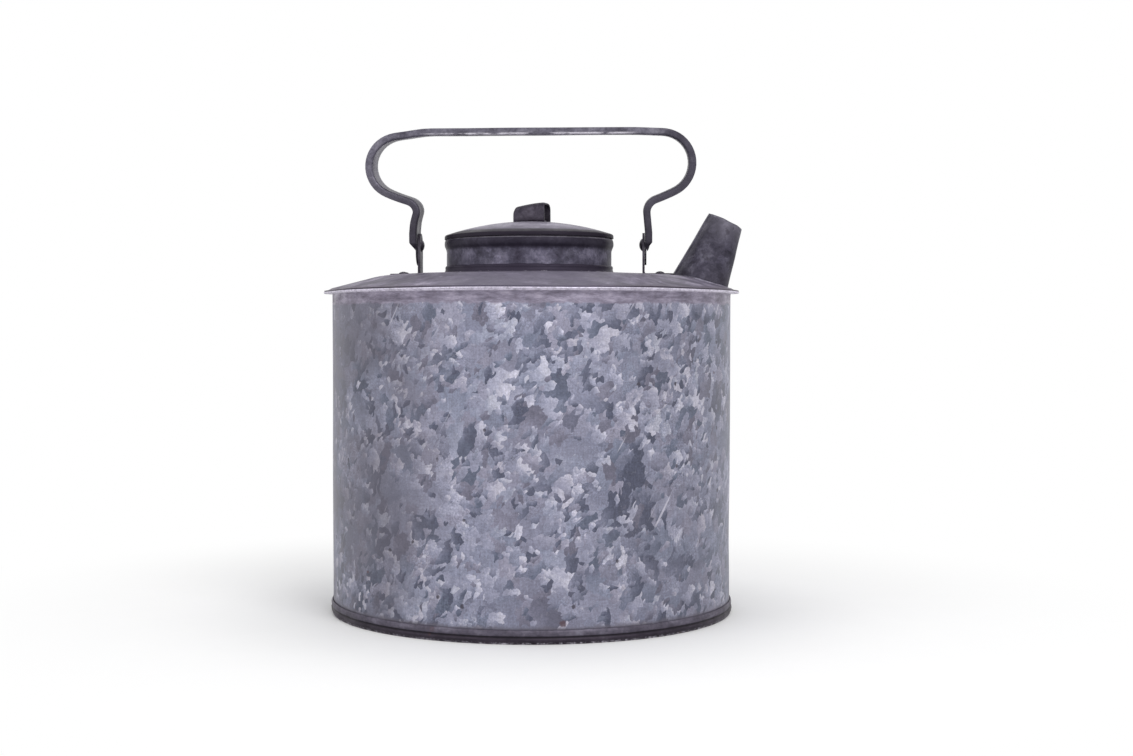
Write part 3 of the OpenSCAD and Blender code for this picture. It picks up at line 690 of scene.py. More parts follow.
NECK_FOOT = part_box("neck_collar")[0].z
NECK_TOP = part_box("neck_collar")[1].z
HEM_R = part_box("neck_collar")[1].x - NECK_X
HEM_H = 0.0056
HEM_TAPER = 0.0022
FOLD = 0.0009
HEM_STEPS = 8
HEM_TOP_R = 0.0004
HEM_ROUNDED = 0.0006
HEM_WAVE = 0.00012
NECK_LAP_LOW = 0.006
NECK_TONES = (linear(56, 52, 65), linear(78, 75, 90), linear(112, 108, 125))
HEM_SOOT = linear(32, 27, 39)
HEM_TOP_WEAR_AND_HIGHLIGHT = linear(142, 137, 149)


def dark_zinc(name, low, middle, high, seed=0.0):
    """Zinc gone dark with age and heat, mottled from a low to a high colour."""
    zinc = Finish(name, metallic=0.35, specular=0.12)
    place = zinc.shift("ADD", zinc.place, (seed, seed, seed))
    pushed = zinc.warp(place, 90, 0.006)
    cloud = zinc.noise(pushed, 55, 7, 0.68)
    colour = zinc.ramp(cloud, [(0.36, low), (0.50, middle), (0.64, high)])
    chips = zinc.cells(pushed, 380, "Position", flat=False)
    facets = zinc.cells(chips, 120, flat=False)
    level = zinc.node("ShaderNodeSeparateColor", {"Color": facets}).outputs["Red"]
    colour = zinc.mix(1.0, colour, zinc.fade(level, 0.0, 1.0, 0.82, 1.20), "MULTIPLY")
    colour = zinc.mix(1.0, colour, zinc.grain(place, 520, 0.72, 1.30, 5.0, 0.75), "MULTIPLY")
    normal = zinc.relief(zinc.noise(place, 520, 6, 0.66), 0.00012, 0.65)
    return zinc, colour, normal


def swell_lap(bm, centre_x, half_width, thickness, low, high):
    """Raises the outside of an upright tube where its sheet laps over itself at the back."""
    for vert in bm.verts:
        angle, radius = around(vert.co, centre_x)
        inside = half_width - abs(apart(angle, BACK)) * radius
        if inside > 0 and low < vert.co.z < high and radius > NECK_R - SHEET / 2:
            vert.co.x += thickness * math.cos(angle)
            vert.co.y += thickness * math.sin(angle)


hem_low = NECK_TOP - HEM_H
hem = []
for i in range(HEM_STEPS + 1):
    drawn_in = HEM_ROUNDED * abs(2 * i / HEM_STEPS - 1) ** 2.5
    hem.append((HEM_R - drawn_in, NECK_TOP - HEM_TOP_R - (HEM_H - HEM_TOP_R) * i / HEM_STEPS))
neck_profile = line((NECK_R - SHEET, NECK_FOOT), (NECK_R - SHEET, NECK_TOP - FOLD), 8)
neck_profile += arc((NECK_R - SHEET + FOLD, NECK_TOP - FOLD), FOLD, 180, 75, 6)
neck_profile += hem
neck_profile += line((HEM_R - 0.0008, hem_low - HEM_TOP_R), (NECK_R, hem_low - HEM_TAPER), 4)
neck_profile += line((NECK_R, hem_low - HEM_TAPER), (NECK_R, NECK_FOOT), 14)
neck_profile.append((NECK_R, NECK_FOOT))
neck = spin_profile(neck_profile, NECK_X, steps=256, closed=True)
swell_lap(neck, NECK_X, LAP_HALF, SHEET * 0.9, NECK_FOOT + NECK_LAP_LOW, hem_low - HEM_TAPER)
for vert in neck.verts:
    if vert.co.z > hem_low:
        vert.co.z += HEM_WAVE * noise.noise(vert.co * 40)
bmesh.ops.recalc_face_normals(neck, faces=neck.faces)
neck = piece("neck_ring", neck, "can", ["neck_collar"])
zinc, colour, normal = dark_zinc("neck_zinc", *NECK_TONES)
height = zinc.axes["Z"]
hem_dark = zinc.fade(height, hem_low - HEM_TAPER, hem_low - 0.0002, 0.0, 0.80)
colour = zinc.mix(hem_dark, colour, HEM_SOOT)
# A pale line along the top of the hem, in patches: wear, and a painted highlight on the fold.
mouth = zinc.fade(height, NECK_TOP - 0.0011, NECK_TOP - 0.0004)
worn = zinc.maths("MULTIPLY", mouth, zinc.grain(zinc.place, 150, 0.3, 1.0))
colour = zinc.mix(worn, colour, HEM_TOP_WEAR_AND_HIGHLIGHT)
neck.data.materials.append(zinc.finish(colour, zinc.grain(zinc.place, 70, 0.38, 0.56), normal))

# The neck is soldered to the collar: a bead fills the step on top of the collar's edge.
BEAD_R = 0.0010
BEAD_SUNK = 0.0006
BEAD_INNER_R = NECK_R - 0.0002
BEAD_OUTER_R = COLLAR_R + 0.0001
BEAD_WAVE = 0.0004

bead_profile = [(BEAD_INNER_R, COLLAR_TOP - BEAD_SUNK)]
bead_profile += [(BEAD_OUTER_R, COLLAR_TOP - BEAD_SUNK), (BEAD_OUTER_R, COLLAR_TOP)]
bead_profile += arc((BEAD_INNER_R, COLLAR_TOP), BEAD_R, 20, 90, 5)
neck_bead = spin_profile(bead_profile, NECK_X, steps=256, closed=True)
for vert in neck_bead.verts:
    if vert.co.z > COLLAR_TOP:
        vert.co.z += BEAD_WAVE * noise.noise(vert.co * 120)
bmesh.ops.recalc_face_normals(neck_bead, faces=neck_bead.faces)
neck_bead = piece("neck_solder", neck_bead, "can")
neck_bead.data.materials.append(breast.data.materials[0])


# ---- Spout ----
# One sheet rolled to a cone, lapped on the side that faces the neck, and cut at its foot to the slope
# of the breast, where it is soldered over its hole. It is nearly black at the foot.

SPOUT_TURN = math.radians(6)
SPOUT_TILT = math.radians(22)
SPOUT_FOOT = 0.108
SPOUT_FOOT_R = 0.0174
SPOUT_TIP_R = 0.0112
SPOUT_L = 0.042
SPOUT_ROOT = 0.012
SPOUT_LAP = math.radians(24)
SPOUT_SLANT = 0.0017
SPOUT_OVAL = 0.00025
SPOUT_DENT = 0.0002
SPOUT_DRAWN_IN = 0.0003
TIP_WAVE = 0.0003
SPOUT_TONES = (linear(48, 45, 57), linear(70, 67, 80), linear(102, 99, 112))
TIP_PALE = linear(112, 109, 119)
SPOUT_SPOTS = linear(54, 50, 60)
SPOUT_SOOT = linear(58, 54, 63)

spout_place = (
    Matrix.Rotation(SPOUT_TURN, 4, "Z")
    @ Matrix.Translation((SPOUT_FOOT, 0, breast_height(SPOUT_FOOT)))
    @ Matrix.Rotation(SPOUT_TILT, 4, "Y")
)


def spout_radius(height, grown=0.0):
    """Outside radius of the spout at a height along its axis."""
    return SPOUT_FOOT_R + (SPOUT_TIP_R - SPOUT_FOOT_R) * height / SPOUT_L + grown


def spout_point(angle, height, grown=0.0):
    """A point of the spout's outside, at an angle about its axis and a height along it."""
    radius = spout_radius(height, grown)
    return spout_place @ Vector((radius * math.cos(angle), radius * math.sin(angle), height))


def spout_root(angle, grown=0.0):
    """The height along its axis at which the spout meets the breast, at an angle."""
    low, high = -SPOUT_ROOT, SPOUT_L / 2
    for _ in range(30):
        middle = (low + high) / 2
        point = spout_point(angle, middle, grown)
        if point.z < breast_height(around(point)[1]):
            low = middle
        else:
            high = middle
    return high


spout_foot = spout_place.to_translation()
spout_direction = spout_place.to_3x3() @ Vector((0, 0, 1))


def outside_of_spout(point):
    along = (point - spout_foot).dot(spout_direction)
    return point - spout_foot - along * spout_direction


spout_profile = line((SPOUT_FOOT_R, 0), (SPOUT_TIP_R, SPOUT_L), 28) + [(SPOUT_TIP_R, SPOUT_L)]
spout = spin_profile(spout_profile, steps=144)
for vert in spout.verts:
    angle, _ = around(vert.co)
    share = vert.co.z / SPOUT_L
    root = spout_root(angle) - 0.0001
    height = root + (SPOUT_L - root - SPOUT_SLANT * (1 + math.cos(angle)) / 2) * share
    lapped = 1.0 if abs(apart(angle, math.pi)) < SPOUT_LAP / 2 else 0.0
    swell = SHEET * lapped + SPOUT_OVAL * share * math.cos(2 * angle + 0.8) * (1 - lapped)
    swell += SPOUT_DENT * noise.noise(vert.co * 70) - SPOUT_DRAWN_IN * share
    if share > 0.99:
        height += TIP_WAVE * noise.noise(Vector((math.cos(angle), math.sin(angle), 0)) * 1.6)
    vert.co = spout_point(angle, height, swell)
face_outwards(spout, outside_of_spout)
spout = piece("spout_cone", spout, "can", ["spout"], SHEET)
zinc, colour, normal = dark_zinc("spout_zinc", *SPOUT_TONES, seed=3.0)
tip_place = spout_point(0, SPOUT_L) * 0.5 + spout_point(math.pi, SPOUT_L) * 0.5
near_tip = zinc.shift("DISTANCE", zinc.place, tuple(tip_place))
tip_pale = zinc.fade(near_tip, 0.024, 0.010, 0.0, 0.4)
colour = zinc.mix(tip_pale, colour, TIP_PALE)
spots = zinc.fade(zinc.noise(zinc.place, 190, 5, 0.65), 0.58, 0.66, 0.0, 0.55)
colour = zinc.mix(spots, colour, SPOUT_SPOTS)
low_dark = zinc.fade(zinc.axes["Z"], spout_foot.z + 0.012, spout_foot.z - 0.002, 0.0, 0.45)
colour = zinc.mix(low_dark, colour, SPOUT_SOOT)
spout.data.materials.append(zinc.finish(colour, zinc.grain(zinc.place, 80, 0.40, 0.60), normal))

# The breast's sheet is cut out inside the spout's foot.
HOLE_INSIDE = 0.0018
cutter = bmesh.new()
bmesh.ops.create_cone(
    cutter, cap_ends=True, segments=96, radius1=spout_radius(-SPOUT_ROOT) - HOLE_INSIDE,
    radius2=spout_radius(SPOUT_ROOT) - HOLE_INSIDE, depth=2 * SPOUT_ROOT, matrix=spout_place,
)
cutter_mesh = bpy.data.meshes.new("cutter")
cutter.to_mesh(cutter_mesh)
cutter.free()
cutter = bpy.data.objects.new("cutter", cutter_mesh)
bpy.context.scene.collection.objects.link(cutter)
hole = breast.modifiers.new("hole", "BOOLEAN")
hole.operation = "DIFFERENCE"
hole.solver = "EXACT"
hole.object = cutter
cut_breast = bpy.data.meshes.new_from_object(breast.evaluated_get(bpy.context.evaluated_depsgraph_get()))
breast.modifiers.clear()
breast.data = cut_breast
cut_breast.shade_smooth()
cut_breast.set_sharp_from_angle(angle=math.radians(40))
bpy.data.objects.remove(cutter)

# A wavy bead of solder runs round the spout's foot.
SOLDER_STEPS = 144
SOLDER_SIDES = 8
SOLDER_R = 0.0010
SOLDER_WAVE = 0.0004
SOLDER_TONES = (linear(70, 66, 78), linear(92, 88, 101), linear(122, 118, 131))

solder = bmesh.new()
first = [solder.verts.new((0, 0, 0)) for _ in range(SOLDER_SIDES)]
edges = [solder.edges.new((first[i], first[(i + 1) % SOLDER_SIDES])) for i in range(SOLDER_SIDES)]
rings = [first]
for _ in range(SOLDER_STEPS - 1):
    made = bmesh.ops.extrude_edge_only(solder, edges=edges)["geom"]
    edges = [item for item in made if isinstance(item, bmesh.types.BMEdge) and len(item.link_faces) == 1]
    rings.append([item for item in made if isinstance(item, bmesh.types.BMVert)])
first_edges = [edge for edge in solder.edges if all(vert in first for vert in edge.verts)]
bmesh.ops.bridge_loops(solder, edges=edges + first_edges)
for number, ring in enumerate(rings):
    angle = 2 * math.pi * number / SOLDER_STEPS
    lapped = SHEET if abs(apart(angle, math.pi)) < SPOUT_LAP / 2 else 0
    centre = spout_point(angle, spout_root(angle), lapped)
    outwards = (spout_point(angle, 0, 0.01) - spout_point(angle, 0)).normalized()
    size = SOLDER_R + SOLDER_WAVE * noise.noise(centre * 140)
    for side, vert in enumerate(ring):
        turn = 2 * math.pi * side / SOLDER_SIDES
        vert.co = centre + size * (math.cos(turn) * outwards + 0.8 * math.sin(turn) * spout_direction)
bmesh.ops.recalc_face_normals(solder, faces=solder.faces)
solder = piece("spout_solder", solder, "can")
zinc, colour, normal = dark_zinc("solder", *SOLDER_TONES, seed=5.0)
solder.data.materials.append(zinc.finish(colour, 0.5, normal))


# ---- Lid ----
# A shallow pressed dome with its edge turned down, over a short sleeve that plugs into the neck. It
# doesn't sit quite level. Hands have kept its zinc paler than the neck's.

LID_R = HEM_R
LID_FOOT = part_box("lid_dome")[0].z
LID_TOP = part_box("lid_dome")[1].z
LID_RISE = 0.0087
LID_EDGE_R = 0.0014
LID_TILT = math.radians(0.4)
LID_WAVE = 0.00022
LID_EDGE_WAVE = 0.00025
DOME_STEPS = 24
DOME_R = (LID_R**2 + LID_RISE**2) / (2 * LID_RISE)
lid_settled = (
    Matrix.Translation((NECK_X, 0, LID_FOOT))
    @ Matrix.Rotation(-LID_TILT, 4, "Y")
    @ Matrix.Translation((-NECK_X, 0, -LID_FOOT))
)


def dome_height(radius):
    """Height of the dome's outer face at a radius from the lid's axis."""
    return LID_TOP - DOME_R + math.sqrt(DOME_R**2 - radius**2)


edge_slope = math.degrees(math.asin((LID_R - LID_EDGE_R) / (DOME_R - LID_EDGE_R)))
edge_z = LID_TOP - DOME_R + (DOME_R - LID_EDGE_R) * math.cos(math.radians(edge_slope))
edge_centre = (LID_R - LID_EDGE_R, edge_z)
dome_angles = [math.radians(90 - edge_slope + edge_slope * i / DOME_STEPS) for i in range(1, DOME_STEPS)]
lid_profile = line((LID_R, LID_FOOT), (LID_R, edge_z), 6)
lid_profile += arc(edge_centre, LID_EDGE_R, 0, 90 - edge_slope, 8)
lid_profile += [(DOME_R * math.cos(a), LID_TOP - DOME_R + DOME_R * math.sin(a)) for a in dome_angles]
lid_profile.append((0.0, LID_TOP))
lid = spin_profile(lid_profile, NECK_X, steps=256)
for vert in lid.verts:
    vert.co.z += LID_WAVE * noise.noise(vert.co * 24)
    if vert.co.z < LID_FOOT + 0.0012:
        vert.co.z += LID_EDGE_WAVE * noise.noise(vert.co * 55)
lid.transform(lid_settled)
face_outwards(lid, lambda point: Vector((point.x - NECK_X, point.y, 0.05)))
lid = piece("lid_cap", lid, "lid", ["lid_dome"], SHEET)
LID_TONES = [
    (0.0, linear(116, 110, 126)),
    (0.4, linear(144, 139, 154)),
    (0.8, linear(162, 157, 172)),
    (1.0, linear(186, 181, 194)),
]
LID_SOOT = linear(84, 78, 94)
KNOB_SOIL = linear(104, 98, 112)
LID_EDGE_SOOT_AND_SHADE = linear(34, 28, 40)
KNOB_X = NECK_X + 0.0019

zinc, colour, normal = dull_zinc("lid_zinc", LID_TONES, scale=0.009)
# The lid's turned-down edge and the foot of the dome are darkened: soot, and painted shade under the dome's
# edge.
edge_cloud = zinc.maths("MULTIPLY_ADD", zinc.noise(zinc.place, 150, 5, 0.65), 0.0008, zinc.axes["Z"])
edge_soot_and_shade = zinc.fade(edge_cloud, LID_FOOT + 0.0054, LID_FOOT + 0.0040)
lid_reach = zinc.shift("DISTANCE", zinc.place, (KNOB_X, 0, LID_TOP))
outer = zinc.maths("MULTIPLY_ADD", zinc.noise(zinc.place, 60, 5, 0.65), 0.012, lid_reach)
colour = zinc.mix(zinc.fade(outer, 0.040, 0.058, 0.0, 0.60), colour, LID_SOOT)
colour = zinc.mix(zinc.fade(lid_reach, 0.020, 0.010, 0.0, 0.4), colour, KNOB_SOIL)
colour = zinc.mix(edge_soot_and_shade, colour, LID_EDGE_SOOT_AND_SHADE)
lid.data.materials.append(zinc.finish(colour, zinc.grain(zinc.place, 60, 0.42, 0.58), normal))

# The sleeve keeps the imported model's shape.
SLEEVE_TONES = (linear(72, 68, 80), linear(96, 92, 106), linear(124, 120, 134))
sleeve = frame["nodes"]["lid_sleeve"]
zinc, colour, normal = dark_zinc("sleeve_zinc", *SLEEVE_TONES, seed=7.0)
sleeve.data.materials.clear()
sleeve.data.materials.append(zinc.finish(colour, 0.5, normal))


# ---- Lid loop ----
# A strap bent over to a small tunnel that rises to one end, its two edges turned in under it and
# soldered to the dome. It is black iron, rubbed on top.

LOOP_L = 0.0204
LOOP_W = 0.0135
LOOP_LOW = 0.0093
LOOP_HIGH = 0.0119
LOOP_CORNER = 0.004
LOOP_FOOT = 0.0044
LOOP_FOOT_R = 0.0008
LOOP_TURN = math.radians(-15)
LOOP_STEPS = 24
LOW_END_ROUND = 0.0016
HIGH_END_ROUND = 0.0007
LOOP_PINCH = 0.05
LOOP_CLEAR = 0.00005
LOOP_BEVEL = 0.00018

half = LOOP_W / 2
side_path = line((LOOP_FOOT - half, 0), (LOOP_FOOT_R - half, 0), 3)
side_path += arc((LOOP_FOOT_R - half, LOOP_FOOT_R), LOOP_FOOT_R, 270, 180, 4)
side_path += line((-half, 0.0014), (-half, LOOP_LOW - LOOP_CORNER), 4)
corner_path = arc((LOOP_CORNER - half, LOOP_LOW - LOOP_CORNER), LOOP_CORNER, 180, 90, 8)
left_path = side_path + corner_path
loop_path = left_path + [(-y, z) for y, z in reversed(left_path)]
loop = bmesh.new()
verts = [loop.verts.new((-LOOP_L / 2, y, z)) for y, z in loop_path]
edges = [loop.edges.new(pair) for pair in zip(verts, verts[1:])]
for _ in range(LOOP_STEPS):
    made = bmesh.ops.extrude_edge_only(loop, edges=edges)["geom"]
    new_verts = [item for item in made if isinstance(item, bmesh.types.BMVert)]
    made_edges = [item for item in made if isinstance(item, bmesh.types.BMEdge)]
    edges = [edge for edge in made_edges if all(vert in new_verts for vert in edge.verts)]
    bmesh.ops.translate(loop, verts=new_verts, vec=(LOOP_L / LOOP_STEPS, 0, 0))
loop_place = Matrix.Translation((KNOB_X, 0, LID_TOP)) @ Matrix.Rotation(LOOP_TURN, 4, "Z")
for vert in loop.verts:
    along = vert.co.x / LOOP_L + 0.5
    level = min(1.0, vert.co.z / (LOOP_LOW - LOOP_CORNER))
    near_low_end = max(0.0, 1 - along / 0.10)
    near_high_end = max(0.0, 1 - (1 - along) / 0.08)
    rounded = LOW_END_ROUND * (1 - math.sqrt(max(0.0, 1 - near_low_end**2)))
    rounded += HIGH_END_ROUND * near_high_end**2
    climb = math.sin(min(1.0, max(0.0, along)) * math.pi / 2)
    raised = level * ((LOOP_HIGH - LOOP_LOW) * climb - rounded)
    pinch = 1 - LOOP_PINCH * level * math.sin(math.pi * along)
    place = loop_place @ Vector((vert.co.x, vert.co.y * pinch, vert.co.z + raised))
    sag = dome_height(around(place, NECK_X)[1]) - LID_TOP
    vert.co = place + Vector((0, 0, sag * (1 - level) + LOOP_CLEAR))
loop.transform(lid_settled)
loop_middle = lid_settled @ (loop_place @ Vector((0, 0, LOOP_LOW / 2)))
face_outwards(loop, lambda point: point - loop_middle)
loop = piece("lid_strap", loop, "lid", ["lid_loop"], SHEET)
bevel = loop.modifiers.new("worn edges", "BEVEL")
bevel.width = LOOP_BEVEL
bevel.segments = 2
bevel.limit_method = "ANGLE"


LOOP_TONES = (linear(48, 44, 54), linear(68, 63, 74), linear(88, 83, 94), linear(104, 99, 110))
LOOP_SHADE = linear(38, 33, 42)
IRON_RUST = linear(86, 62, 56)


def dark_iron(name, low, middle, high, worn, seed=0.0):
    """Dark strap iron, its zinc half gone, with worn streaks and specks of rust."""
    iron = Finish(name, metallic=0.5, specular=0.12)
    place = iron.shift("ADD", iron.place, (seed, seed, seed))
    pushed = iron.warp(place, 110, 0.004)
    cloud = iron.noise(pushed, 75, 7, 0.7)
    colour = iron.ramp(cloud, [(0.36, low), (0.50, middle), (0.64, high)])
    rubbed = iron.fade(iron.noise(iron.stretch(place, (0.35, 1, 1)), 160, 5, 0.65), 0.56, 0.70, 0.0, 0.6)
    colour = iron.mix(rubbed, colour, worn)
    colour = iron.mix(1.0, colour, iron.grain(place, 560, 0.80, 1.20), "MULTIPLY")
    rust = iron.fade(iron.noise(place, 210, 6, 0.7), 0.66, 0.72, 0.0, 0.6)
    colour = iron.mix(rust, colour, IRON_RUST)
    normal = iron.relief(iron.noise(place, 700, 6, 0.66), 0.00012, 0.7)
    return iron, colour, normal


iron, colour, normal = dark_iron("loop_iron", *LOOP_TONES)
under = iron.fade(iron.axes["Z"], LID_TOP + 0.004, LID_TOP, 0.0, 0.6)
colour = iron.mix(under, colour, LOOP_SHADE)
loop.data.materials.append(iron.finish(colour, iron.grain(iron.place, 90, 0.38, 0.56), normal))


# ---- Bail ----
# One strap pressed to a channel with its flanges outwards, bent to a broad bow over the lid and drawn
# in over the breast. Its ends are flat tongues, drilled for the pivot rivets.

PIVOT_Z = frame["record"]["behaviour"]["joints"][0]["pos_m"][2]
STRAP_W = 0.025
STRAP = 0.001
CHANNEL = 0.0046
CHANNEL_R = 0.0018
WEB_STEPS = 6
BAIL_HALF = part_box("bail_handle")[1].x
GRIP_H = 0.0692
UPPER_R = 0.0168
LOWER_R = 0.012
SLANT = 25.0
SPLAY = 5.3
BAIL_LEAN = math.radians(5.5)
TONGUE_X = 0.0717
TONGUE_TOP = 0.008
TONGUE_W = 0.019
TONGUE_DROP = 0.0127
TONGUE_TIP_W = 0.0012
STRAP_DENT = 0.00018
STRAP_INSET = 0.00015


def heading(degrees):
    """The direction that a stretch of the bow runs in, from level towards the can's right."""
    return Vector((math.cos(math.radians(degrees)), math.sin(math.radians(degrees))))


def strap_outline(width, depth):
    """The channel's closed outline across the strap, as (depth, breadth) points."""
    half = width / 2
    outer_r = min(CHANNEL_R, depth * 0.95)
    inner_r = max(0.00002, outer_r - STRAP)
    inner_at = min(depth, STRAP + inner_r)
    outer = arc((outer_r, outer_r - half), outer_r, 270, 180, 6)
    inner = arc((inner_at, STRAP + inner_r - half), inner_r, 180, 270, 6)
    lip = max(depth, inner_at)
    side = [(lip, -half), ((lip + outer_r) / 2, -half)] + outer
    web = [(0.0, (outer_r - half) * (1 - 2 * i / WEB_STEPS)) for i in range(1, WEB_STEPS)]
    back = [(n, -y) for n, y in reversed(side)]
    inside = [(lip, half - STRAP)] + [(n, -y) for n, y in reversed(inner)]
    flat = half - STRAP - inner_r
    bottom = [(STRAP, flat * (1 - 2 * i / WEB_STEPS)) for i in range(1, WEB_STEPS)]
    return side + web + back + inside + bottom + inner + [(lip, STRAP - half)]


# From the upper bend a slanting run leads to the lower bend, and a splayed leg from there to the
# tongue. Their lengths follow from where the bends and the tongue are.
slant = math.radians(SLANT)
splay = math.radians(SPLAY)
between = math.cos(math.radians(SLANT - SPLAY))
upper_c = Vector((BAIL_HALF - CHANNEL - UPPER_R, GRIP_H - UPPER_R))
slant_start = upper_c + UPPER_R * heading(SLANT - 90)
run = Vector((
    slant_start.x + LOWER_R * (math.sin(slant) - math.cos(splay)) - TONGUE_X,
    slant_start.y - LOWER_R * (math.cos(slant) + math.sin(splay)) - TONGUE_TOP,
))
slant_l = run.dot(heading(SPLAY)) / between
leg_l = (run.y * math.cos(slant) - run.x * math.sin(slant)) / between
slant_end = slant_start - slant_l * heading(SLANT)
lower_c = slant_end + LOWER_R * heading(SLANT - 90)
leg_start = lower_c + LOWER_R * heading(180 + SPLAY)

# The right half of the bow, from its middle down: place, heading in degrees, width and depth.
GRIP_STEPS = 16
UPPER_STEPS = 20
SLANT_STEPS = 8
LOWER_STEPS = 14
LEG_STEPS = 6
TONGUE_STEPS = 22
TIP_STEPS = 12
FLAT_FROM = 0.0022
FLAT_OVER = 0.0048

stations = []
for i in range(GRIP_STEPS):
    stations.append((Vector((upper_c.x * i / GRIP_STEPS, GRIP_H)), 0.0, STRAP_W, CHANNEL))
for i in range(UPPER_STEPS + 1):
    turned = (90 + 90 - SLANT) * i / UPPER_STEPS
    stations.append((upper_c + UPPER_R * heading(90 - turned), -turned, STRAP_W, CHANNEL))
for i in range(1, SLANT_STEPS):
    spot = slant_start - slant_l * i / SLANT_STEPS * heading(SLANT)
    stations.append((spot, SLANT - 180, STRAP_W, CHANNEL))
for i in range(LOWER_STEPS + 1):
    turned = (90 - SLANT + SPLAY) * i / LOWER_STEPS
    spot = lower_c + LOWER_R * heading(90 + SLANT + turned)
    stations.append((spot, SLANT - 180 + turned, STRAP_W, CHANNEL))
for i in range(1, LEG_STEPS):
    spot = leg_start + leg_l * i / LEG_STEPS * heading(SPLAY - 90)
    stations.append((spot, SPLAY - 90, STRAP_W, CHANNEL))
for i in range(TONGUE_STEPS + 1):
    fall = i / TONGUE_STEPS
    level = TONGUE_TOP - (TONGUE_TOP + TONGUE_DROP - TONGUE_W / 2) * fall
    flat = min(1.0, max(0.0, (FLAT_FROM - level) / FLAT_OVER))
    narrow = flat * flat * (3 - 2 * flat)
    width = STRAP_W + (TONGUE_W - STRAP_W) * narrow
    depth = CHANNEL + (STRAP - CHANNEL) * flat
    stations.append((Vector((TONGUE_X, level)), -90.0, width, depth))
for i in range(1, TIP_STEPS + 1):
    end = math.pi / 2 * i / TIP_STEPS
    level = TONGUE_W / 2 - TONGUE_DROP - TONGUE_W / 2 * math.sin(end)
    width = max(TONGUE_TIP_W, TONGUE_W * math.cos(end))
    stations.append((Vector((TONGUE_X, level)), -90.0, width, STRAP))
mirrored = [(Vector((-p.x, p.y)), -a, w, d) for p, a, w, d in reversed(stations[1:])]
stations = mirrored + stations

# How far use has bent it: the sag of its left and right end, at the grip and at the leg, the height
# and width over which it comes in, and how far and where the left leg leans in.
LEFT_SAG = (0.0026, 0.0018)
RIGHT_SAG = (0.0008, 0.0022)
SAG_OUT = (0.062, 0.088)
SAG_UP = (0.014, 0.032)
LEFT_LEAN = 0.0014
LEAN_IN = (0.0125, 0.024)
LEAN_OUT = (0.026, 0.042)


def eased(value, low, high):
    """0 below low, 1 above high, and a smooth rise between them."""
    share = min(1.0, max(0.0, (value - low) / (high - low)))
    return share * share * (3 - 2 * share)


def bent_by_use(place):
    """Where a point of the bow has come to: both its ends sag, and the left leg leans in."""
    high, low = LEFT_SAG if place.x < 0 else RIGHT_SAG
    lean = LEFT_LEAN if place.x < 0 else 0.0
    level = place.y / GRIP_H
    sag = (low + (high - low) * level) * eased(abs(place.x), *SAG_OUT) * eased(place.y, *SAG_UP)
    leg = lean * eased(place.y, *LEAN_IN) * (1 - eased(place.y, *LEAN_OUT))
    return place + Vector((leg, -sag))


stations = [(bent_by_use(p), a, w, d) for p, a, w, d in stations]
bail = bmesh.new()
outline = strap_outline(STRAP_W, CHANNEL)
ring = [bail.verts.new((0, 0, 0)) for _ in outline]
edges = [bail.edges.new((ring[i], ring[(i + 1) % len(ring)])) for i in range(len(ring))]
bail.faces.new(ring)
bail_lean = Matrix.Translation((0, 0, PIVOT_Z)) @ Matrix.Rotation(BAIL_LEAN, 4, "X")
for number, (place, angle, width, depth) in enumerate(stations):
    if number:
        made = bmesh.ops.extrude_edge_only(bail, edges=edges)["geom"]
        fresh = {item for item in made if isinstance(item, bmesh.types.BMVert)}
        ring = [next(e.other_vert(v) for e in v.link_edges if e.other_vert(v) in fresh) for v in ring]
        edges = [bail.edges.get((ring[i], ring[(i + 1) % len(ring)])) for i in range(len(ring))]
    left = heading(angle + 90)
    for vert, (outwards, breadth) in zip(ring, strap_outline(width, depth)):
        dent = STRAP_DENT * noise.noise(Vector((place.x, breadth, place.y)) * 26) - STRAP_INSET
        spot = place + (outwards + dent) * left
        vert.co = bail_lean @ Vector((spot.x, breadth, spot.y))
bail.faces.new(ring)
bmesh.ops.remove_doubles(bail, verts=bail.verts, dist=2e-6)
bmesh.ops.dissolve_degenerate(bail, edges=bail.edges, dist=1e-6)
bmesh.ops.recalc_face_normals(bail, faces=bail.faces)
bail = piece("bail_strap", bail, "bail", ["bail_handle"], smooth_below=50)
BAIL_TONES = (linear(78, 75, 86), linear(104, 101, 114), linear(124, 121, 133), linear(140, 137, 148))
LEG_TONES = [(0.3, linear(46, 42, 50)), (0.7, linear(76, 73, 84))]
RIGHT_BEND_SOIL = linear(62, 59, 69)
BARE_CORNER_AND_HIGHLIGHT = linear(240, 236, 246)

iron, colour, normal = dark_iron("bail_iron", *BAIL_TONES)
legs = iron.fade(iron.axes["Z"], PIVOT_Z + 0.058, PIVOT_Z + 0.018, 0.0, 0.88)
colour = iron.mix(legs, colour, iron.ramp(iron.noise(iron.place, 60, 6, 0.68), LEG_TONES))
right_bend = iron.fade(iron.axes["X"], 0.070, 0.094, 0.0, 0.70)
colour = iron.mix(right_bend, colour, RIGHT_BEND_SOIL)
from_pivot = iron.shift("SUBTRACT", iron.place, (0, 0, PIVOT_Z))
stood_up = {"Vector": from_pivot, "Angle": -BAIL_LEAN}
upright = iron.node("ShaderNodeVectorRotate", stood_up, rotation_type="X_AXIS")
level = iron.node("ShaderNodeSeparateXYZ", {"Vector": upright.outputs[0]}).outputs
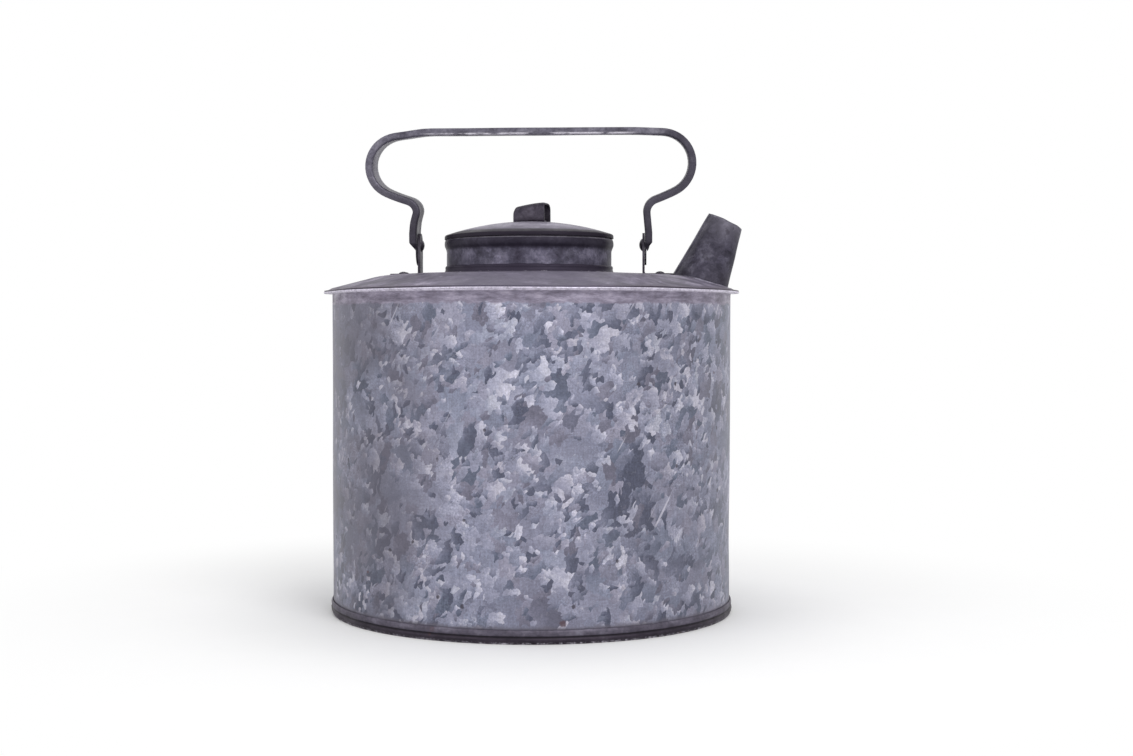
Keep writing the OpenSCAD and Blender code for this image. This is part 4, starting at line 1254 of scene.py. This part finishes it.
# A near-white line in patches along the grip's lower corners: worn bare spots, and a painted highlight on
# the channel's rounded corners.
corner = iron.fade(level["Z"], GRIP_H + 0.0018, GRIP_H + 0.0010)
edge = iron.fade(iron.maths("ABSOLUTE", level["Y"]), STRAP_W / 2 - 0.0012, STRAP_W / 2 - 0.0004)
patchy = iron.fade(iron.noise(iron.stretch(iron.place, (0.4, 1, 1)), 90, 5, 0.7), 0.42, 0.56, 0.0, 0.9)
held = iron.fade(iron.maths("ABSOLUTE", iron.axes["X"]), 0.070, 0.055)
wear_and_highlight = iron.maths("MULTIPLY", iron.maths("MULTIPLY", corner, edge), iron.maths("MULTIPLY", patchy, held))
colour = iron.mix(wear_and_highlight, colour, BARE_CORNER_AND_HIGHLIGHT)
bail.data.materials.append(iron.finish(colour, iron.grain(iron.place, 70, 0.36, 0.56), normal))


# ---- Ears and rivets ----
# Two strips of thick sheet bent to an L and riveted to the breast, with a round-headed rivet through
# each upright that the bail turns on. All are black iron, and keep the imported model's shapes.

EAR_TONES = (linear(46, 41, 51), linear(66, 61, 71), linear(88, 84, 94), linear(104, 100, 110))
RIVET_TONES = (linear(44, 40, 48), linear(66, 62, 71), linear(92, 88, 98), linear(120, 116, 126))

iron, colour, normal = dark_iron("ear_iron", *EAR_TONES, seed=2.0)
ear_iron = iron.finish(colour, iron.grain(iron.place, 90, 0.40, 0.60), normal)
iron, colour, normal = dark_iron("rivet_iron", *RIVET_TONES, seed=4.0)
rivet_iron = iron.finish(colour, iron.grain(iron.place, 120, 0.36, 0.54), normal)
for name, node in frame["nodes"].items():
    if name.startswith("ear"):
        node.data.materials.clear()
        node.data.materials.append(ear_iron)
    if "rivet" in name:
        node.data.materials.clear()
        node.data.materials.append(rivet_iron)


# ---- Studio ----
# A pale floor that keeps the can's soft shadow and fades to white, a white background, and three large
# soft lights: to the right in front, to the left in front, and above.

FLOOR_R = 4.0
FLOOR_SHADES = (grey(0.90), grey(0.905))
FADE_FROM = 0.16
FADE_TO = 0.42
AMBIENT = 0.62

ground = bmesh.new()
bmesh.ops.create_circle(ground, cap_ends=True, radius=FLOOR_R, segments=96)
floor_mesh = bpy.data.meshes.new("floor")
ground.to_mesh(floor_mesh)
ground.free()
floor = bpy.data.objects.new("floor", floor_mesh)
bpy.context.scene.collection.objects.link(floor)
paper = Finish("paper", metallic=0.0, specular=0.0)
away = paper.shift("DISTANCE", paper.place, (0, 0, 0))
paper.finish(paper.mix(paper.fade(paper.noise(paper.place, 40, 3), 0.3, 0.7), *FLOOR_SHADES), 1.0)
white = paper.node("ShaderNodeEmission", {"Color": grey(1.0), "Strength": 1.0})
blend = paper.node("ShaderNodeMixShader", {"Fac": paper.fade(away, FADE_FROM, FADE_TO)})
paper.put(blend.inputs[1], paper.shader.outputs[0])
paper.put(blend.inputs[2], white.outputs[0])
paper.put(paper.tree.nodes["Material Output"].inputs["Surface"], blend.outputs[0])
floor.data.materials.append(paper.material)

# The world lights the object at an even level, and shows white to the camera and in reflections.
world = bpy.data.worlds.new("studio")
bpy.context.scene.world = world
world.use_nodes = True
sky = world.node_tree
ray = sky.nodes.new("ShaderNodeLightPath")
plain = sky.nodes.new("ShaderNodeMath")
plain.operation = "MAXIMUM"
seen = sky.nodes.new("ShaderNodeMath")
seen.operation = "MAXIMUM"
sky.links.new(ray.outputs["Is Camera Ray"], seen.inputs[0])
sky.links.new(ray.outputs["Is Glossy Ray"], seen.inputs[1])
sky.links.new(seen.outputs[0], plain.inputs[0])
sky.links.new(ray.outputs["Is Transmission Ray"], plain.inputs[1])
strength = sky.nodes.new("ShaderNodeMapRange")
strength.inputs["To Min"].default_value = AMBIENT
strength.inputs["To Max"].default_value = 1.0
sky.links.new(plain.outputs[0], strength.inputs["Value"])
sky.nodes["Background"].inputs["Color"].default_value = (1, 1, 1, 1)
sky.links.new(strength.outputs[0], sky.nodes["Background"].inputs["Strength"])


def soft_light(name, place, target, size, watts):
    """A round soft light at a place, turned to a target."""
    light = bpy.data.lights.new(name, "AREA")
    light.shape = "DISK"
    light.size = size
    light.energy = watts
    lamp = bpy.data.objects.new(name, light)
    lamp.location = place
    lamp.rotation_euler = (Vector(target) - Vector(place)).to_track_quat("-Z", "Y").to_euler()
    bpy.context.scene.collection.objects.link(lamp)


CAN_MIDDLE = (0, 0, 0.13)
soft_light("key", (0.9, -1.5, 1.1), CAN_MIDDLE, size=1.2, watts=16)
soft_light("fill", (-1.4, -1.1, 0.8), CAN_MIDDLE, size=1.2, watts=6)
soft_light("top", (0.0, 0.2, 1.9), CAN_MIDDLE, size=1.4, watts=10)

# A level camera, a little over a metre from the can and slightly to the right of its front.
CAMERA_AWAY = 1.052
CAMERA_Z = 0.1784
CAMERA_TURN = math.radians(3.5)
CAMERA_SHIFT = (0.0309, -0.0468)
CAMERA_LENS = 52.84
CAMERA_SENSOR = 36.0
lens = bpy.data.cameras.new("camera")
lens.lens = CAMERA_LENS
lens.sensor_width = CAMERA_SENSOR
lens.shift_x, lens.shift_y = CAMERA_SHIFT
camera = bpy.data.objects.new("camera", lens)
camera.location = (CAMERA_AWAY * math.sin(CAMERA_TURN), -CAMERA_AWAY * math.cos(CAMERA_TURN), CAMERA_Z)
camera.rotation_euler = (math.pi / 2, 0, CAMERA_TURN)
bpy.context.scene.collection.objects.link(camera)
bpy.context.scene.camera = camera
bpy.context.scene.view_settings.view_transform = "Standard"
